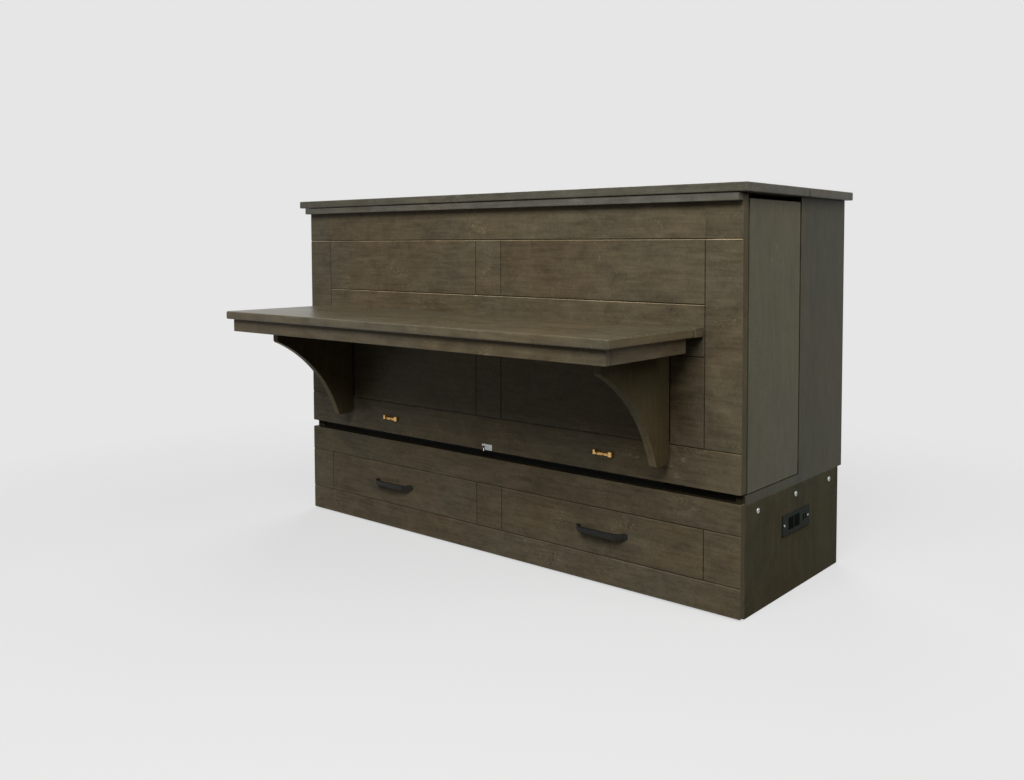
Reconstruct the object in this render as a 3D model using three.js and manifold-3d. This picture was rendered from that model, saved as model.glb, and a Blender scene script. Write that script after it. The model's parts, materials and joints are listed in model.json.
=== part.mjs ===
// Cabinet wall bed with a fold-down desk: a floor-standing chest that holds a fold-away queen bed.
// Millimetres. +X to the right, +Y from front to back, +Z up. The floor is at z = 0.
// The front-back places below are measured from the face of the front door, then shifted so
// that the middle of the whole object lies on the Z axis.
import * as THREE from "three";
import { mergeVertices } from "three/addons/utils/BufferGeometryUtils.js";
import Module from "manifold-3d";

const wasm = await Module();
wasm.setup();

// ---------------------------------------------------------------- driving dimensions
// Cabinet
const BODY_WIDTH = 1626; // over the side panels, the front door and the drawer front
const BODY_DEPTH = 573; // door face to the back of the upper cabinet
const LID_TOP = 1032; // floor to the top of the lid
const LID_THICKNESS = 22;
const LID_OVERHANG_SIDE = 25;
const LID_OVERHANG_FRONT = 27;
const SPLIT_DEPTH = 298; // door face to the line where wings and lid flap end
const SEAM = 1; // gap between the lid flap and the fixed top
const SIDE_THICKNESS = 25;
const BACK_THICKNESS = 16;
const WING_SEAM = 5; // gap between a wing and the fixed side behind it
// Base
const BASE_HEIGHT = 273; // floor to the top of the base sides
const BASE_REAR_INSET = 22; // room for a skirting board behind the base
const LEDGE_HEIGHT = 24; // the fixed side's foot that runs forward under the wing
const PLATFORM_RISE = 6; // above the door's lower edge
const PLATFORM_THICKNESS = 18;
const PLATFORM_DOOR_GAP = 2;
const RAIL_THICKNESS = 22;
const RAIL_HEIGHT = 57;
// Front door and its wings
const DOOR_THICKNESS = 25;
const DOOR_LEDGE_GAP = 4; // door's lower edge above the ledge
const DOOR_TOP_GAP = 3; // under the lid
const WING_TOP_GAP = 12.5; // under the lid, which the wing's rear corner needs as the bed opens
const WING_BOTTOM_GAP = 2; // over the ledge
const CROWN_DEPTH = 22;
const CROWN_HEIGHT = 19;
const CROWN_LID_GAP = 1;
const SHADOW_DEPTH = 5; // the rebate that parts each wing from the door
const SHADOW_WIDTH = 6;
const STILE_WIDTH = 102; // body edge to the outer upright groove
const MID_STILE_WIDTH = 98;
const TOP_RAIL = 105; // door's upper edge to its first level groove
const ABOVE_DESK = 53; // desk top to the second level groove
const BELOW_DESK = 73; // desk top down to the third
const BOTTOM_RAIL = 97; // door's lower edge to the fourth
const GROOVE_WIDTH = 5;
const GROOVE_DEPTH = 3;
// Drawer
const DRAWER_FRONT_THICKNESS = 20;
const DRAWER_DOOR_GAP = 21; // drawer front's upper edge to the door
const FLOOR_GAP = 5; // under the drawer front
const DRAWER_TOP_RAIL = 77; // upper edge to the upper level groove
const DRAWER_BOTTOM_RAIL = 73; // lower edge to the lower one
const DRAWER_SIDE_TOP = 146;
const DRAWER_SIDE_BOTTOM = 24;
const DRAWER_BOARD = 16;
const DRAWER_REAR_GAP = 34.4; // behind the drawer, to the base's back
const DRAWER_FLOOR = 9; // thickness
const DRAWER_FLOOR_RISE = 9; // above the lower edge of the drawer's sides
const SLIDE_WIDTH = 12.7;
const SLIDE_HEIGHT = 44;
const SLIDE_SHEET = 1.6;
const SLIDE_CENTRE = 84;
const SLIDE_SHORT = 0.3; // than the drawer
const SLIDE_BAR_SHORT = 22; // the drawer's bar ends this far before the channel
const HANDLE_INSET = 408; // body edge to the middle of a handle
const HANDLE_LENGTH = 165;
const HANDLE_REACH = 27;
const HANDLE_BAR = 8; // thickness of the bar
const HANDLE_TALL = 12.5;
const HANDLE_BOW = 2;
const HANDLE_HEIGHT = 144;
const HANDLE_FOOT = 13; // length of a foot along the bar
const HANDLE_PAD = 3; // how far a foot stands out before its arm leans
const HANDLE_LEAN = 17; // how far an arm leans in
const HANDLE_ARM = 8; // width of an arm where it meets the bar
const HANDLE_CORNER = 5; // cut off the bar's front corners
// Desk
const DESK_INSET = 104; // body edge to the desk's end
const DESK_REACH = 384; // door face to the leaf's front edge
const DESK_TOP = 692;
const DESK_THICKNESS = 23;
const DESK_RAIL_DEPTH = 39;
const APRON_HEIGHT = 37;
const APRON_THICKNESS = 20;
const APRON_INSET_FRONT = 16;
const APRON_INSET_SIDE = 17.5;
const APRON_REAR_GAP = 12; // behind the apron's sides, to the rail's front
// Corbels under the desk
const CORBEL_INSET = 103; // desk's end to the middle of a corbel
const CORBEL_THICKNESS = 22;
const CORBEL_FRONT_GAP = 64; // corbel's nose to the front apron
const CORBEL_RISE = 49; // lower end above the door's lower edge
const CORBEL_FOOT = 62; // depth of its lower end
const CORBEL_NOSE = 70; // height of its front end
const CORBEL_ARC = 400; // radius of its hollow edge
const CORBEL_DOOR_GAP = 7; // holds the hinge barrel
const CORBEL_HINGE_LENGTH = 210;
const CORBEL_PIVOT_INSET = 2; // from the corbel's inner face
const CORBEL_HINGE_DOOR_LEAF = 18;
const CORBEL_HINGE_LEAF = 12;
// Bed pivot and the hinges
const PIVOT_DEPTH = 14;
const PIVOT_DROP = 5; // below the door's lower edge
const BED_HINGE_INSET = 223; // body edge to the end of a hinge
const LID_HINGE_INSET = 33;
const FOOT_HINGE_INSET = 263;
const DESK_HINGE_CLEAR = 13; // past the corbels as they fold inward
const HINGE_LEAF = 20; // width of a leaf
const HINGE_SHEET = 1;
const BED_HINGE_SHEET = 2;
const BARREL_RADIUS = 3.2;
const PIN_RADIUS = 1.4;
const LID_KNUCKLES = 11;
const BED_KNUCKLES = 9;
const FOOT_KNUCKLES = 7;
const DESK_KNUCKLES = 5;
const CORBEL_KNUCKLES = 5;
const RUNNING_GAP = 0.3;
// Fold-away bed
const FOOT_THICKNESS = 18;
const FOOT_RISE = 27; // above the door's lower edge
const FOOT_SIDE_GAP = 22; // to the wings
const FOOT_DOOR_GAP = 7; // holds the folded hinge
const FOOT_TOP_GAP = 24; // below the top of the door
const LEG_FRAME_INSET = 236; // from the foot platform's ends
const LEG_TUBE = 8; // radius
const LEG_STEP = 0.5; // how much thinner the legs are than the tubes that join them
const LEG_HEIGHT = 280;
const LEG_END_GAP = 30; // free end of the foot platform to the leg frame's pivot tube
const LEG_MATTRESS_GAP = 4;
const MATTRESS_SIDE_GAP = 26; // to the cabinet's sides
const MATTRESS_LID_GAP = 25.7;
const MATTRESS_REAR_GAP = 27;
const MATTRESS_GAP = 2; // between two sections
const MATTRESS_SECTIONS = ["front", "middle", "rear"];
// Small fittings
const CATCH_INSET = 400; // body edge to the middle of a brass bolt
const CATCH_RISE = 49; // above the door's lower edge
const CATCH_LENGTH = 60;
const CATCH_WIDTH = 16;
const CATCH_TRAVEL = 12;
const CATCH_ROD = 3; // radius
const CATCH_KNOB = 2.5; // radius
const CATCH_KNOB_LENGTH = 12;
const CATCH_PLATE = 2;
const CATCH_LOOP = 8; // length of a guide along the rod
const CATCH_WALL = 2; // of a guide, round the rod
const LATCH_WIDTH = 27;
const LATCH_HEIGHT = 17;
const LATCH_RISE = 1.5; // above the door's lower edge
const LATCH_SHEET = 0.7; // thin enough to pass over the drawer as the bed opens
const LATCH_HUB = 4; // radius
const LATCH_ARM = 12;
const LATCH_SHORT_ARM = 9.5;
const LATCH_ARM_WIDTH = 3;
const OUTLET_LENGTH = 152;
const OUTLET_WIDTH = 53;
const OUTLET_DEPTH_PLACE = 286; // door face to the outlet's middle
const OUTLET_HEIGHT = 181;
const OUTLET_BOX_DEPTH = 32;
const OUTLET_PLATE = 4;
const OUTLET_COVER = 14; // how far the plate reaches past the cut-out at each end
// Rounded edges
const PANEL_EDGE = 1.5;
const LID_EDGE = 3;
const DESK_EDGE = 4;
const APRON_EDGE = 1;
const MATTRESS_EDGE = 12;
const OVERCUT = 1; // how far a cutter passes the face that it cuts

// ---------------------------------------------------------------- derived places
const half = BODY_WIDTH / 2;
const lidBottom = LID_TOP - LID_THICKNESS;
const sideInner = half - SIDE_THICKNESS;
const baseRear = BODY_DEPTH - BASE_REAR_INSET;
const ledgeTop = BASE_HEIGHT + LEDGE_HEIGHT;
const doorBottom = ledgeTop + DOOR_LEDGE_GAP;
const drawerTop = doorBottom - DRAWER_DOOR_GAP;
const platformTop = doorBottom + PLATFORM_RISE;
const platformBottom = platformTop - PLATFORM_THICKNESS;
const railBottom = platformBottom - RAIL_HEIGHT;
const doorTop = lidBottom - DOOR_TOP_GAP;
const wingTop = lidBottom - WING_TOP_GAP;
const platformFront = DOOR_THICKNESS + PLATFORM_DOOR_GAP;
const baseFront = DRAWER_FRONT_THICKNESS + RUNNING_GAP;
const fixedSideFront = SPLIT_DEPTH + WING_SEAM;
const deskBottom = DESK_TOP - DESK_THICKNESS;
const deskHalf = half - DESK_INSET;
const corbelPlace = deskHalf - CORBEL_INSET;
const corbelBottom = doorBottom + CORBEL_RISE;
const corbelReach = DESK_REACH - APRON_INSET_FRONT - APRON_THICKNESS - CORBEL_FRONT_GAP;
const corbelPivot = corbelPlace - CORBEL_THICKNESS / 2 + CORBEL_PIVOT_INSET;
const drawerLength = baseRear - BACK_THICKNESS - DRAWER_REAR_GAP - baseFront;
const footWidth = 2 * (sideInner - FOOT_SIDE_GAP);
const middleDepth = (BODY_DEPTH - DESK_REACH) / 2;

// ---------------------------------------------------------------- materials
function material(color, roughness, metalness = 0) {
  return new THREE.MeshStandardMaterial({ color, roughness, metalness });
}
const wood = material(0x5a5040, 0.5);
const innerWood = material(0x6b5f4c, 0.6);
const blackMetal = material(0x161616, 0.35, 0.7);
const blackPlastic = material(0x1b1c1c, 0.45);
const steel = material(0xb4b6b4, 0.3, 1);
const brass = material(0xb08a48, 0.3, 1);
const fabric = material(0xd9d5cc, 0.9);

const bed = new THREE.Group();
bed.position.y = -middleDepth;

function add(name, geometry, look) {
  const mesh = new THREE.Mesh(geometry, look);
  mesh.name = name;
  bed.add(mesh);
  return mesh;
}

// ---------------------------------------------------------------- shape helpers
// x, y and z are [low, high] pairs in the frame whose y is zero at the door's face.
function block(x, y, z) {
  const shape = new THREE.BoxGeometry(x[1] - x[0], y[1] - y[0], z[1] - z[0]);
  return shape.translate((x[0] + x[1]) / 2, (y[0] + y[1]) / 2, (z[0] + z[1]) / 2);
}

// A span of x on the right-hand side, or the same span on the left.
function mirrored(x, sign) {
  return sign > 0 ? x : [-x[1], -x[0]];
}

function roundedRectangle(width, height, radius) {
  const w = width / 2;
  const h = height / 2;
  const shape = new THREE.Shape();
  shape.moveTo(-w + radius, -h);
  shape.lineTo(w - radius, -h);
  shape.absarc(w - radius, -h + radius, radius, -Math.PI / 2, 0);
  shape.lineTo(w, h - radius);
  shape.absarc(w - radius, h - radius, radius, 0, Math.PI / 2);
  shape.lineTo(-w + radius, h);
  shape.absarc(-w + radius, h - radius, radius, Math.PI / 2, Math.PI);
  shape.lineTo(-w, -h + radius);
  shape.absarc(-w + radius, -h + radius, radius, Math.PI, 1.5 * Math.PI);
  return shape;
}

// A board with every edge eased by the radius given, lying with its thinnest side along "thin".
function board(x, y, z, ease, thin, steps = 2) {
  const size = { x: x[1] - x[0], y: y[1] - y[0], z: z[1] - z[0] };
  const across = { x: ["z", "y"], y: ["x", "z"], z: ["x", "y"] }[thin];
  const outline = roundedRectangle(size[across[0]] - 2 * ease, size[across[1]] - 2 * ease, ease);
  const shape = new THREE.ExtrudeGeometry(outline, {
    depth: size[thin] - 2 * ease,
    bevelEnabled: true,
    bevelSize: ease,
    bevelThickness: ease,
    bevelSegments: steps,
    curveSegments: steps,
  });
  shape.translate(0, 0, ease - size[thin] / 2);
  if (thin === "x") shape.rotateY(Math.PI / 2);
  if (thin === "y") shape.rotateX(Math.PI / 2);
  return shape.translate((x[0] + x[1]) / 2, (y[0] + y[1]) / 2, (z[0] + z[1]) / 2);
}

// A flat outline in the (y, z) plane, drawn out along x.
function sideProfile(points, x) {
  const shape = new THREE.ExtrudeGeometry(new THREE.Shape(points), {
    depth: x[1] - x[0],
    bevelEnabled: false,
  });
  return shape.rotateY(Math.PI / 2).rotateX(Math.PI / 2).translate(x[0], 0, 0);
}

function rod(radius, length, along, sides = 12) {
  const shape = new THREE.CylinderGeometry(radius, radius, length, sides);
  if (along === "x") return shape.rotateZ(Math.PI / 2);
  if (along === "z") return shape.rotateX(Math.PI / 2);
  return shape;
}

function toSolid(geometry) {
  const bare = geometry.clone();
  bare.deleteAttribute("normal");
  bare.deleteAttribute("uv");
  const merged = mergeVertices(bare, 1e-4);
  return new wasm.Manifold(
    new wasm.Mesh({
      numProp: 3,
      vertProperties: new Float32Array(merged.attributes.position.array),
      triVerts: new Uint32Array(merged.index.array),
    }),
  );
}

function toGeometry(solid) {
  const mesh = solid.getMesh();
  const geometry = new THREE.BufferGeometry();
  geometry.setAttribute("position", new THREE.BufferAttribute(mesh.vertProperties, 3));
  geometry.setIndex(new THREE.BufferAttribute(mesh.triVerts, 1));
  const flat = geometry.toNonIndexed();
  flat.computeVertexNormals();
  return flat;
}

function join(...shapes) {
  return toGeometry(shapes.map(toSolid).reduce((whole, piece) => whole.add(piece)));
}

function cut(shape, ...tools) {
  return toGeometry(tools.map(toSolid).reduce((whole, tool) => whole.subtract(tool), toSolid(shape)));
}

// A V groove on the face y = 0, from one point (x, z) to another, level or upright.
function groove(from, to) {
  const length = Math.hypot(to[0] - from[0], to[1] - from[1]) + GROOVE_WIDTH;
  const w = (GROOVE_WIDTH / 2) * (1 + OVERCUT / GROOVE_DEPTH);
  const v = new THREE.Shape([
    new THREE.Vector2(-w, -OVERCUT),
    new THREE.Vector2(w, -OVERCUT),
    new THREE.Vector2(0, GROOVE_DEPTH),
  ]);
  const shape = new THREE.ExtrudeGeometry(v, { depth: length, bevelEnabled: false });
  shape.translate(0, 0, -length / 2); // length along z, depth along y
  if (from[1] === to[1]) shape.rotateY(Math.PI / 2);
  return shape.translate((from[0] + to[0]) / 2, 0, (from[1] + to[1]) / 2);
}

// ---------------------------------------------------------------- hinges
const PIN_SIDES = 8;

// A piano-type leaf: its own share of the barrel's knuckles along x, joined to a sheet.
// "turn" is 0 for the leaf with the even knuckles and the pin, 1 for the odd ones.
function hingeLeaf({ x, knuckles, turn, sheets, at }) {
  const length = x[1] - x[0];
  const centre = (x[0] + x[1]) / 2;
  const pitch = length / knuckles;
  const pieces = [];
  for (let i = turn; i < knuckles; i += 2) {
    const knuckle = rod(BARREL_RADIUS, pitch - 2 * RUNNING_GAP, "x");
    pieces.push(knuckle.translate(x[0] + pitch * (i + 0.5), at[0], at[1]));
  }
  if (turn === 0) {
    const pin = rod(PIN_RADIUS, length, "x", PIN_SIDES);
    return join(...pieces, ...sheets, pin.translate(centre, at[0], at[1]));
  }
  const bore = rod(PIN_RADIUS + RUNNING_GAP, length + 2 * OVERCUT, "x", PIN_SIDES);
  return cut(join(...pieces, ...sheets), bore.translate(centre, at[0], at[1]));
}

// The sheet of a leaf, notched where the other leaf's knuckles turn.
function notchedSheet(sheet, { x, knuckles, turn, at }) {
  const pitch = (x[1] - x[0]) / knuckles;
  const room = 2 * (BARREL_RADIUS + 2 * RUNNING_GAP);
  const notches = [];
  for (let i = 1 - turn; i < knuckles; i += 2) {
    const notch = new THREE.BoxGeometry(pitch + 2 * RUNNING_GAP, room, room);
    notches.push(notch.translate(x[0] + pitch * (i + 0.5), at[0], at[1]));
  }
  return cut(sheet, ...notches);
}

// ---------------------------------------------------------------- base
function addBase() {
  for (const [side, sign] of [["left", -1], ["right", 1]]) {
    const x = mirrored([sideInner, half], sign);
    let panel = board(x, [baseFront, baseRear], [0, BASE_HEIGHT], PANEL_EDGE, "x", 1);
    if (sign > 0) panel = cut(panel, outletHole());
    add(`base_side_${side}`, panel, wood);
    const cleat = mirrored([sideInner - RAIL_THICKNESS, sideInner], sign);
    const cleatY = [platformFront + RAIL_THICKNESS, baseRear - BACK_THICKNESS];
    add(`platform_cleat_${side}`, block(cleat, cleatY, [railBottom, platformBottom]), innerWood);
    add(`slide_outer_${side}`, slideOuter(sign), steel);
  }
  const backY = [baseRear - BACK_THICKNESS, baseRear];
  add("base_back", block([-sideInner, sideInner], backY, [0, platformBottom]), wood);
  const railY = [platformFront, platformFront + RAIL_THICKNESS];
  add("base_front_rail", block([-sideInner, sideInner], railY, [railBottom, platformBottom]), wood);
  const platform = block([-sideInner, sideInner], [platformFront, baseRear], [platformBottom, platformTop]);
  add("platform", platform, innerWood);
}

// The cut-out behind the outlet plate, which covers it all round.
function outletSpan() {
  const y = OUTLET_LENGTH / 2 - OUTLET_COVER;
  const z = OUTLET_WIDTH / 2 - OUTLET_COVER / 2;
  return {
    y: [OUTLET_DEPTH_PLACE - y, OUTLET_DEPTH_PLACE + y],
    z: [OUTLET_HEIGHT - z, OUTLET_HEIGHT + z],
  };
}

function outletHole() {
  const { y, z } = outletSpan();
  return block([sideInner - OVERCUT, half + OVERCUT], y, z);
}

// Telescopic slide: a channel on the base side, and a bar on the drawer that runs in it.
const slideOuterX = [sideInner - SLIDE_WIDTH / 2, sideInner];
const slideZ = [SLIDE_CENTRE - SLIDE_HEIGHT / 2, SLIDE_CENTRE + SLIDE_HEIGHT / 2];
const slideFront = platformFront + SLIDE_SHEET;
const slideLength = drawerLength - SLIDE_SHORT;

function slideOuter(sign) {
  const y = [slideFront, slideFront + slideLength];
  const whole = block(mirrored(slideOuterX, sign), y, slideZ);
  const hollow = [slideOuterX[0] - OVERCUT, slideOuterX[1] - SLIDE_SHEET];
  const z = [slideZ[0] + SLIDE_SHEET, slideZ[1] - SLIDE_SHEET];
  return cut(whole, block(mirrored(hollow, sign), [y[0] - OVERCUT, y[1] + OVERCUT], z));
}

function slideInner(sign) {
  const x = [drawerHalf, slideOuterX[1] - SLIDE_SHEET - RUNNING_GAP];
  const z = [slideZ[0] + SLIDE_SHEET + RUNNING_GAP, slideZ[1] - SLIDE_SHEET - RUNNING_GAP];
  return block(mirrored(x, sign), [slideFront, slideFront + slideLength - SLIDE_BAR_SHORT], z);
}

// ---------------------------------------------------------------- drawer
const drawerHalf = sideInner - SLIDE_WIDTH;
const drawerRear = baseFront + drawerLength;

function addDrawer() {
  const z = [FLOOR_GAP, drawerTop];
  const front = board([-half, half], [0, DRAWER_FRONT_THICKNESS], z, PANEL_EDGE, "y", 2);
  const outer = half - STILE_WIDTH;
  const mid = MID_STILE_WIDTH / 2;
  const high = drawerTop - DRAWER_TOP_RAIL;
  const low = FLOOR_GAP + DRAWER_BOTTOM_RAIL;
  const level = [high, low].map((h) => groove([-half, h], [half, h]));
  const upright = [-outer, -mid, mid, outer].map((x) => groove([x, low], [x, high]));
  add("drawer_front", cut(front, ...level, ...upright), wood);
  const boxZ = [DRAWER_SIDE_BOTTOM, DRAWER_SIDE_TOP];
  const boxY = [DRAWER_FRONT_THICKNESS, drawerRear];
  for (const [side, sign] of [["left", -1], ["right", 1]]) {
    const wall = mirrored([drawerHalf - DRAWER_BOARD, drawerHalf], sign);
    add(`drawer_side_${side}`, block(wall, boxY, boxZ), innerWood);
    add(`slide_inner_${side}`, slideInner(sign), steel);
    add(`drawer_handle_${side}`, handle(sign * (half - HANDLE_INSET)), blackMetal);
  }
  const inside = drawerHalf - DRAWER_BOARD;
  add("drawer_back", block([-inside, inside], [drawerRear - DRAWER_BOARD, drawerRear], boxZ), innerWood);
  const floorLow = DRAWER_SIDE_BOTTOM + DRAWER_FLOOR_RISE;
  const floorZ = [floorLow, floorLow + DRAWER_FLOOR];
  const floorY = [DRAWER_FRONT_THICKNESS, drawerRear - DRAWER_BOARD];
  add("drawer_bottom", block([-inside, inside], floorY, floorZ), innerWood);
}

// A square bar pull: two feet, arms that lean inward, and a bar that bows out a little between them.
function handle(x) {
  const outer = HANDLE_LENGTH / 2;
  const inner = outer - HANDLE_FOOT;
  const barEnd = outer - HANDLE_LEAN;
  const armInner = barEnd - HANDLE_ARM;
  const front = -HANDLE_REACH + HANDLE_BOW;
  const middle = -HANDLE_REACH - HANDLE_BOW;
  const outline = new THREE.Shape();
  outline.moveTo(-outer, 0);
  outline.lineTo(-outer, -HANDLE_PAD);
  outline.lineTo(-barEnd, front + HANDLE_CORNER);
  outline.lineTo(-barEnd + HANDLE_CORNER, front);
  outline.quadraticCurveTo(0, middle, barEnd - HANDLE_CORNER, front);
  outline.lineTo(barEnd, front + HANDLE_CORNER);
  outline.lineTo(outer, -HANDLE_PAD);
  outline.lineTo(outer, 0);
  outline.lineTo(inner, 0);
  outline.lineTo(inner, -HANDLE_PAD);
  outline.lineTo(armInner, front + HANDLE_BAR);
  outline.quadraticCurveTo(0, middle + HANDLE_BAR, -armInner, front + HANDLE_BAR);
  outline.lineTo(-inner, -HANDLE_PAD);
  outline.lineTo(-inner, 0);
  const shape = new THREE.ExtrudeGeometry(outline, {
    depth: HANDLE_TALL,
    bevelEnabled: false,
    curveSegments: 8,
  });
  return shape.translate(x, 0, HANDLE_HEIGHT - HANDLE_TALL / 2);
}

// ---------------------------------------------------------------- upper cabinet
function addUpperCabinet() {
  const outline = [
    [baseFront, BASE_HEIGHT],
    [BODY_DEPTH, BASE_HEIGHT],
    [BODY_DEPTH, lidBottom],
    [fixedSideFront, lidBottom],
    [fixedSideFront, ledgeTop],
    [baseFront, ledgeTop],
  ].map(([y, z]) => new THREE.Vector2(y, z));
  add("upper_side_left", sideProfile(outline, [-half, -sideInner]), wood);
  add("upper_side_right", sideProfile(outline, [sideInner, half]), wood);
  const backY = [BODY_DEPTH - BACK_THICKNESS, BODY_DEPTH];
  add("upper_back", block([-sideInner, sideInner], backY, [platformTop, lidBottom]), wood);
  const lidX = [-half - LID_OVERHANG_SIDE, half + LID_OVERHANG_SIDE];
  const lidZ = [lidBottom, LID_TOP];
  const notchEnd = half - LID_HINGE_INSET + OVERCUT;
  const notchY = [lidAxis[0] - lidNotch, lidAxis[0] + lidNotch];
  const notch = block([-notchEnd, notchEnd], notchY, [lidAxis[1] - lidNotch, LID_TOP + OVERCUT]);
  const rebate = (y) => block(lidHingeX, y, [lidSheetZ[0], LID_TOP + OVERCUT]);
  const top = board(lidX, [SPLIT_DEPTH + SEAM / 2, BODY_DEPTH], lidZ, LID_EDGE, "z", 3);
  const flap = board(lidX, [-LID_OVERHANG_FRONT, SPLIT_DEPTH - SEAM / 2], lidZ, LID_EDGE, "z", 3);
  add("fixed_top", cut(top, notch, rebate(fixedLeafY)), wood);
  add("lid_flap", cut(flap, notch, rebate(movingLeafY)), wood);
}

const lidAxis = [SPLIT_DEPTH, LID_TOP + HINGE_SHEET + RUNNING_GAP];
const lidNotch = BARREL_RADIUS + 2 * RUNNING_GAP;
const lidHingeX = [-half + LID_HINGE_INSET, half - LID_HINGE_INSET];
const lidSheetZ = [LID_TOP - HINGE_SHEET, LID_TOP]; // the leaves are let in flush
const fixedLeafY = [lidAxis[0] + SEAM, lidAxis[0] + SEAM + HINGE_LEAF];
const movingLeafY = [lidAxis[0] - SEAM - HINGE_LEAF, lidAxis[0] - SEAM];

function addLidHinge() {
  const base = { x: lidHingeX, knuckles: LID_KNUCKLES, at: lidAxis };
  const rear = notchedSheet(block(lidHingeX, fixedLeafY, lidSheetZ), { ...base, turn: 0 });
  const front = notchedSheet(block(lidHingeX, movingLeafY, lidSheetZ), { ...base, turn: 1 });
  add("lid_hinge_fixed_leaf", hingeLeaf({ ...base, turn: 0, sheets: [rear] }), steel);
  add("lid_hinge_moving_leaf", hingeLeaf({ ...base, turn: 1, sheets: [front] }), steel);
}

// ---------------------------------------------------------------- front door, the tray that opens
function addDoor() {
  const panel = board([-half, half], [0, DOOR_THICKNESS], [doorBottom, doorTop], PANEL_EDGE, "y", 2);
  const outer = half - STILE_WIDTH;
  const mid = MID_STILE_WIDTH / 2;
  const g1 = doorTop - TOP_RAIL;
  const g2 = DESK_TOP + ABOVE_DESK;
  const g3 = DESK_TOP - BELOW_DESK;
  const g4 = doorBottom + BOTTOM_RAIL;
  const cuts = [
    groove([-half, g1], [half, g1]),
    groove([-half, g4], [half, g4]),
    groove([-outer, g2], [outer, g2]),
    groove([-outer, g3], [outer, g3]),
    groove([-outer, g4], [-outer, g1]),
    groove([outer, g4], [outer, g1]),
    ...[-mid, mid].flatMap((x) => [groove([x, g2], [x, g1]), groove([x, g4], [x, g3])]),
  ];
  add("front_door", cut(panel, ...cuts), wood);
  const crownTop = lidBottom - CROWN_LID_GAP;
  const crown = board([-half, half], [-CROWN_DEPTH, 0], [crownTop - CROWN_HEIGHT, crownTop], PANEL_EDGE, "y");
  add("crown_moulding", crown, wood);
  for (const [side, sign] of [["left", -1], ["right", 1]]) {
    const z = [ledgeTop + WING_BOTTOM_GAP, wingTop];
    const x = mirrored([sideInner, half], sign);
    const wing = board(x, [DOOR_THICKNESS, SPLIT_DEPTH], z, PANEL_EDGE, "x", 1);
    const rebateX = mirrored([half - SHADOW_DEPTH, half + OVERCUT], sign);
    const rebateY = [DOOR_THICKNESS - OVERCUT, DOOR_THICKNESS + SHADOW_WIDTH];
    const rebate = block(rebateX, rebateY, [z[0] - OVERCUT, z[1] + OVERCUT]);
    add(`wing_${side}`, cut(wing, rebate), wood);
  }
}

// The hinge at the door's foot: one leaf on the base rail, the other under the door's lower edge.
function addBedHinge() {
  const at = [PIVOT_DEPTH, doorBottom - PIVOT_DROP];
  const low = at[1] - BARREL_RADIUS;
  const x = [-half + BED_HINGE_INSET, half - BED_HINGE_INSET];
  const base = { x, knuckles: BED_KNUCKLES, at };
  const shelf = block(x, [at[0], platformFront], [low, low + BED_HINGE_SHEET]);
  const flangeY = [platformFront - BED_HINGE_SHEET, platformFront];
  const flange = block(x, flangeY, [low - HINGE_LEAF, low + BED_HINGE_SHEET]);
  const fixed = notchedSheet(join(shelf, flange), { ...base, turn: 0 });
  add("bed_hinge_base_leaf", hingeLeaf({ ...base, turn: 0, sheets: [fixed] }), blackMetal);
  const leafMiddle = DOOR_THICKNESS / 2;
  const underDoorY = [leafMiddle - HINGE_LEAF / 2, leafMiddle + HINGE_LEAF / 2];
  const underDoor = block(x, underDoorY, [doorBottom - HINGE_SHEET, doorBottom]);
  const webZ = [at[1] + PIN_RADIUS + 2 * RUNNING_GAP, doorBottom];
  const web = notchedSheet(block(x, [at[0] - BED_HINGE_SHEET, at[0]], webZ), { ...base, turn: 1 });
  add("bed_hinge_door_leaf", hingeLeaf({ ...base, turn: 1, sheets: [underDoor, web] }), blackMetal);
}

// ---------------------------------------------------------------- desk
function addDesk() {
  const z = [deskBottom, DESK_TOP];
  const seamY = -DESK_RAIL_DEPTH - SEAM;
  add("desk_rail", board([-deskHalf, deskHalf], [-DESK_RAIL_DEPTH, 0], z, PANEL_EDGE, "z"), wood);
  add("desk_leaf", board([-deskHalf, deskHalf], [-DESK_REACH, seamY], z, DESK_EDGE, "z", 3), wood);
  const apronZ = [deskBottom - APRON_HEIGHT, deskBottom];
  const ax = deskHalf - APRON_INSET_SIDE;
  const apronFront = -DESK_REACH + APRON_INSET_FRONT;
  const frontY = [apronFront, apronFront + APRON_THICKNESS];
  add("desk_apron_front", board([-ax, ax], frontY, apronZ, APRON_EDGE, "y", 1), wood);
  const sideY = [frontY[1], -DESK_RAIL_DEPTH - APRON_REAR_GAP];
  for (const [side, sign] of [["left", -1], ["right", 1]]) {
    const x = mirrored([ax - APRON_THICKNESS, ax], sign);
    add(`desk_apron_${side}`, board(x, sideY, apronZ, APRON_EDGE, "x", 1), wood);
  }
  addDeskHinge();
}

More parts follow.
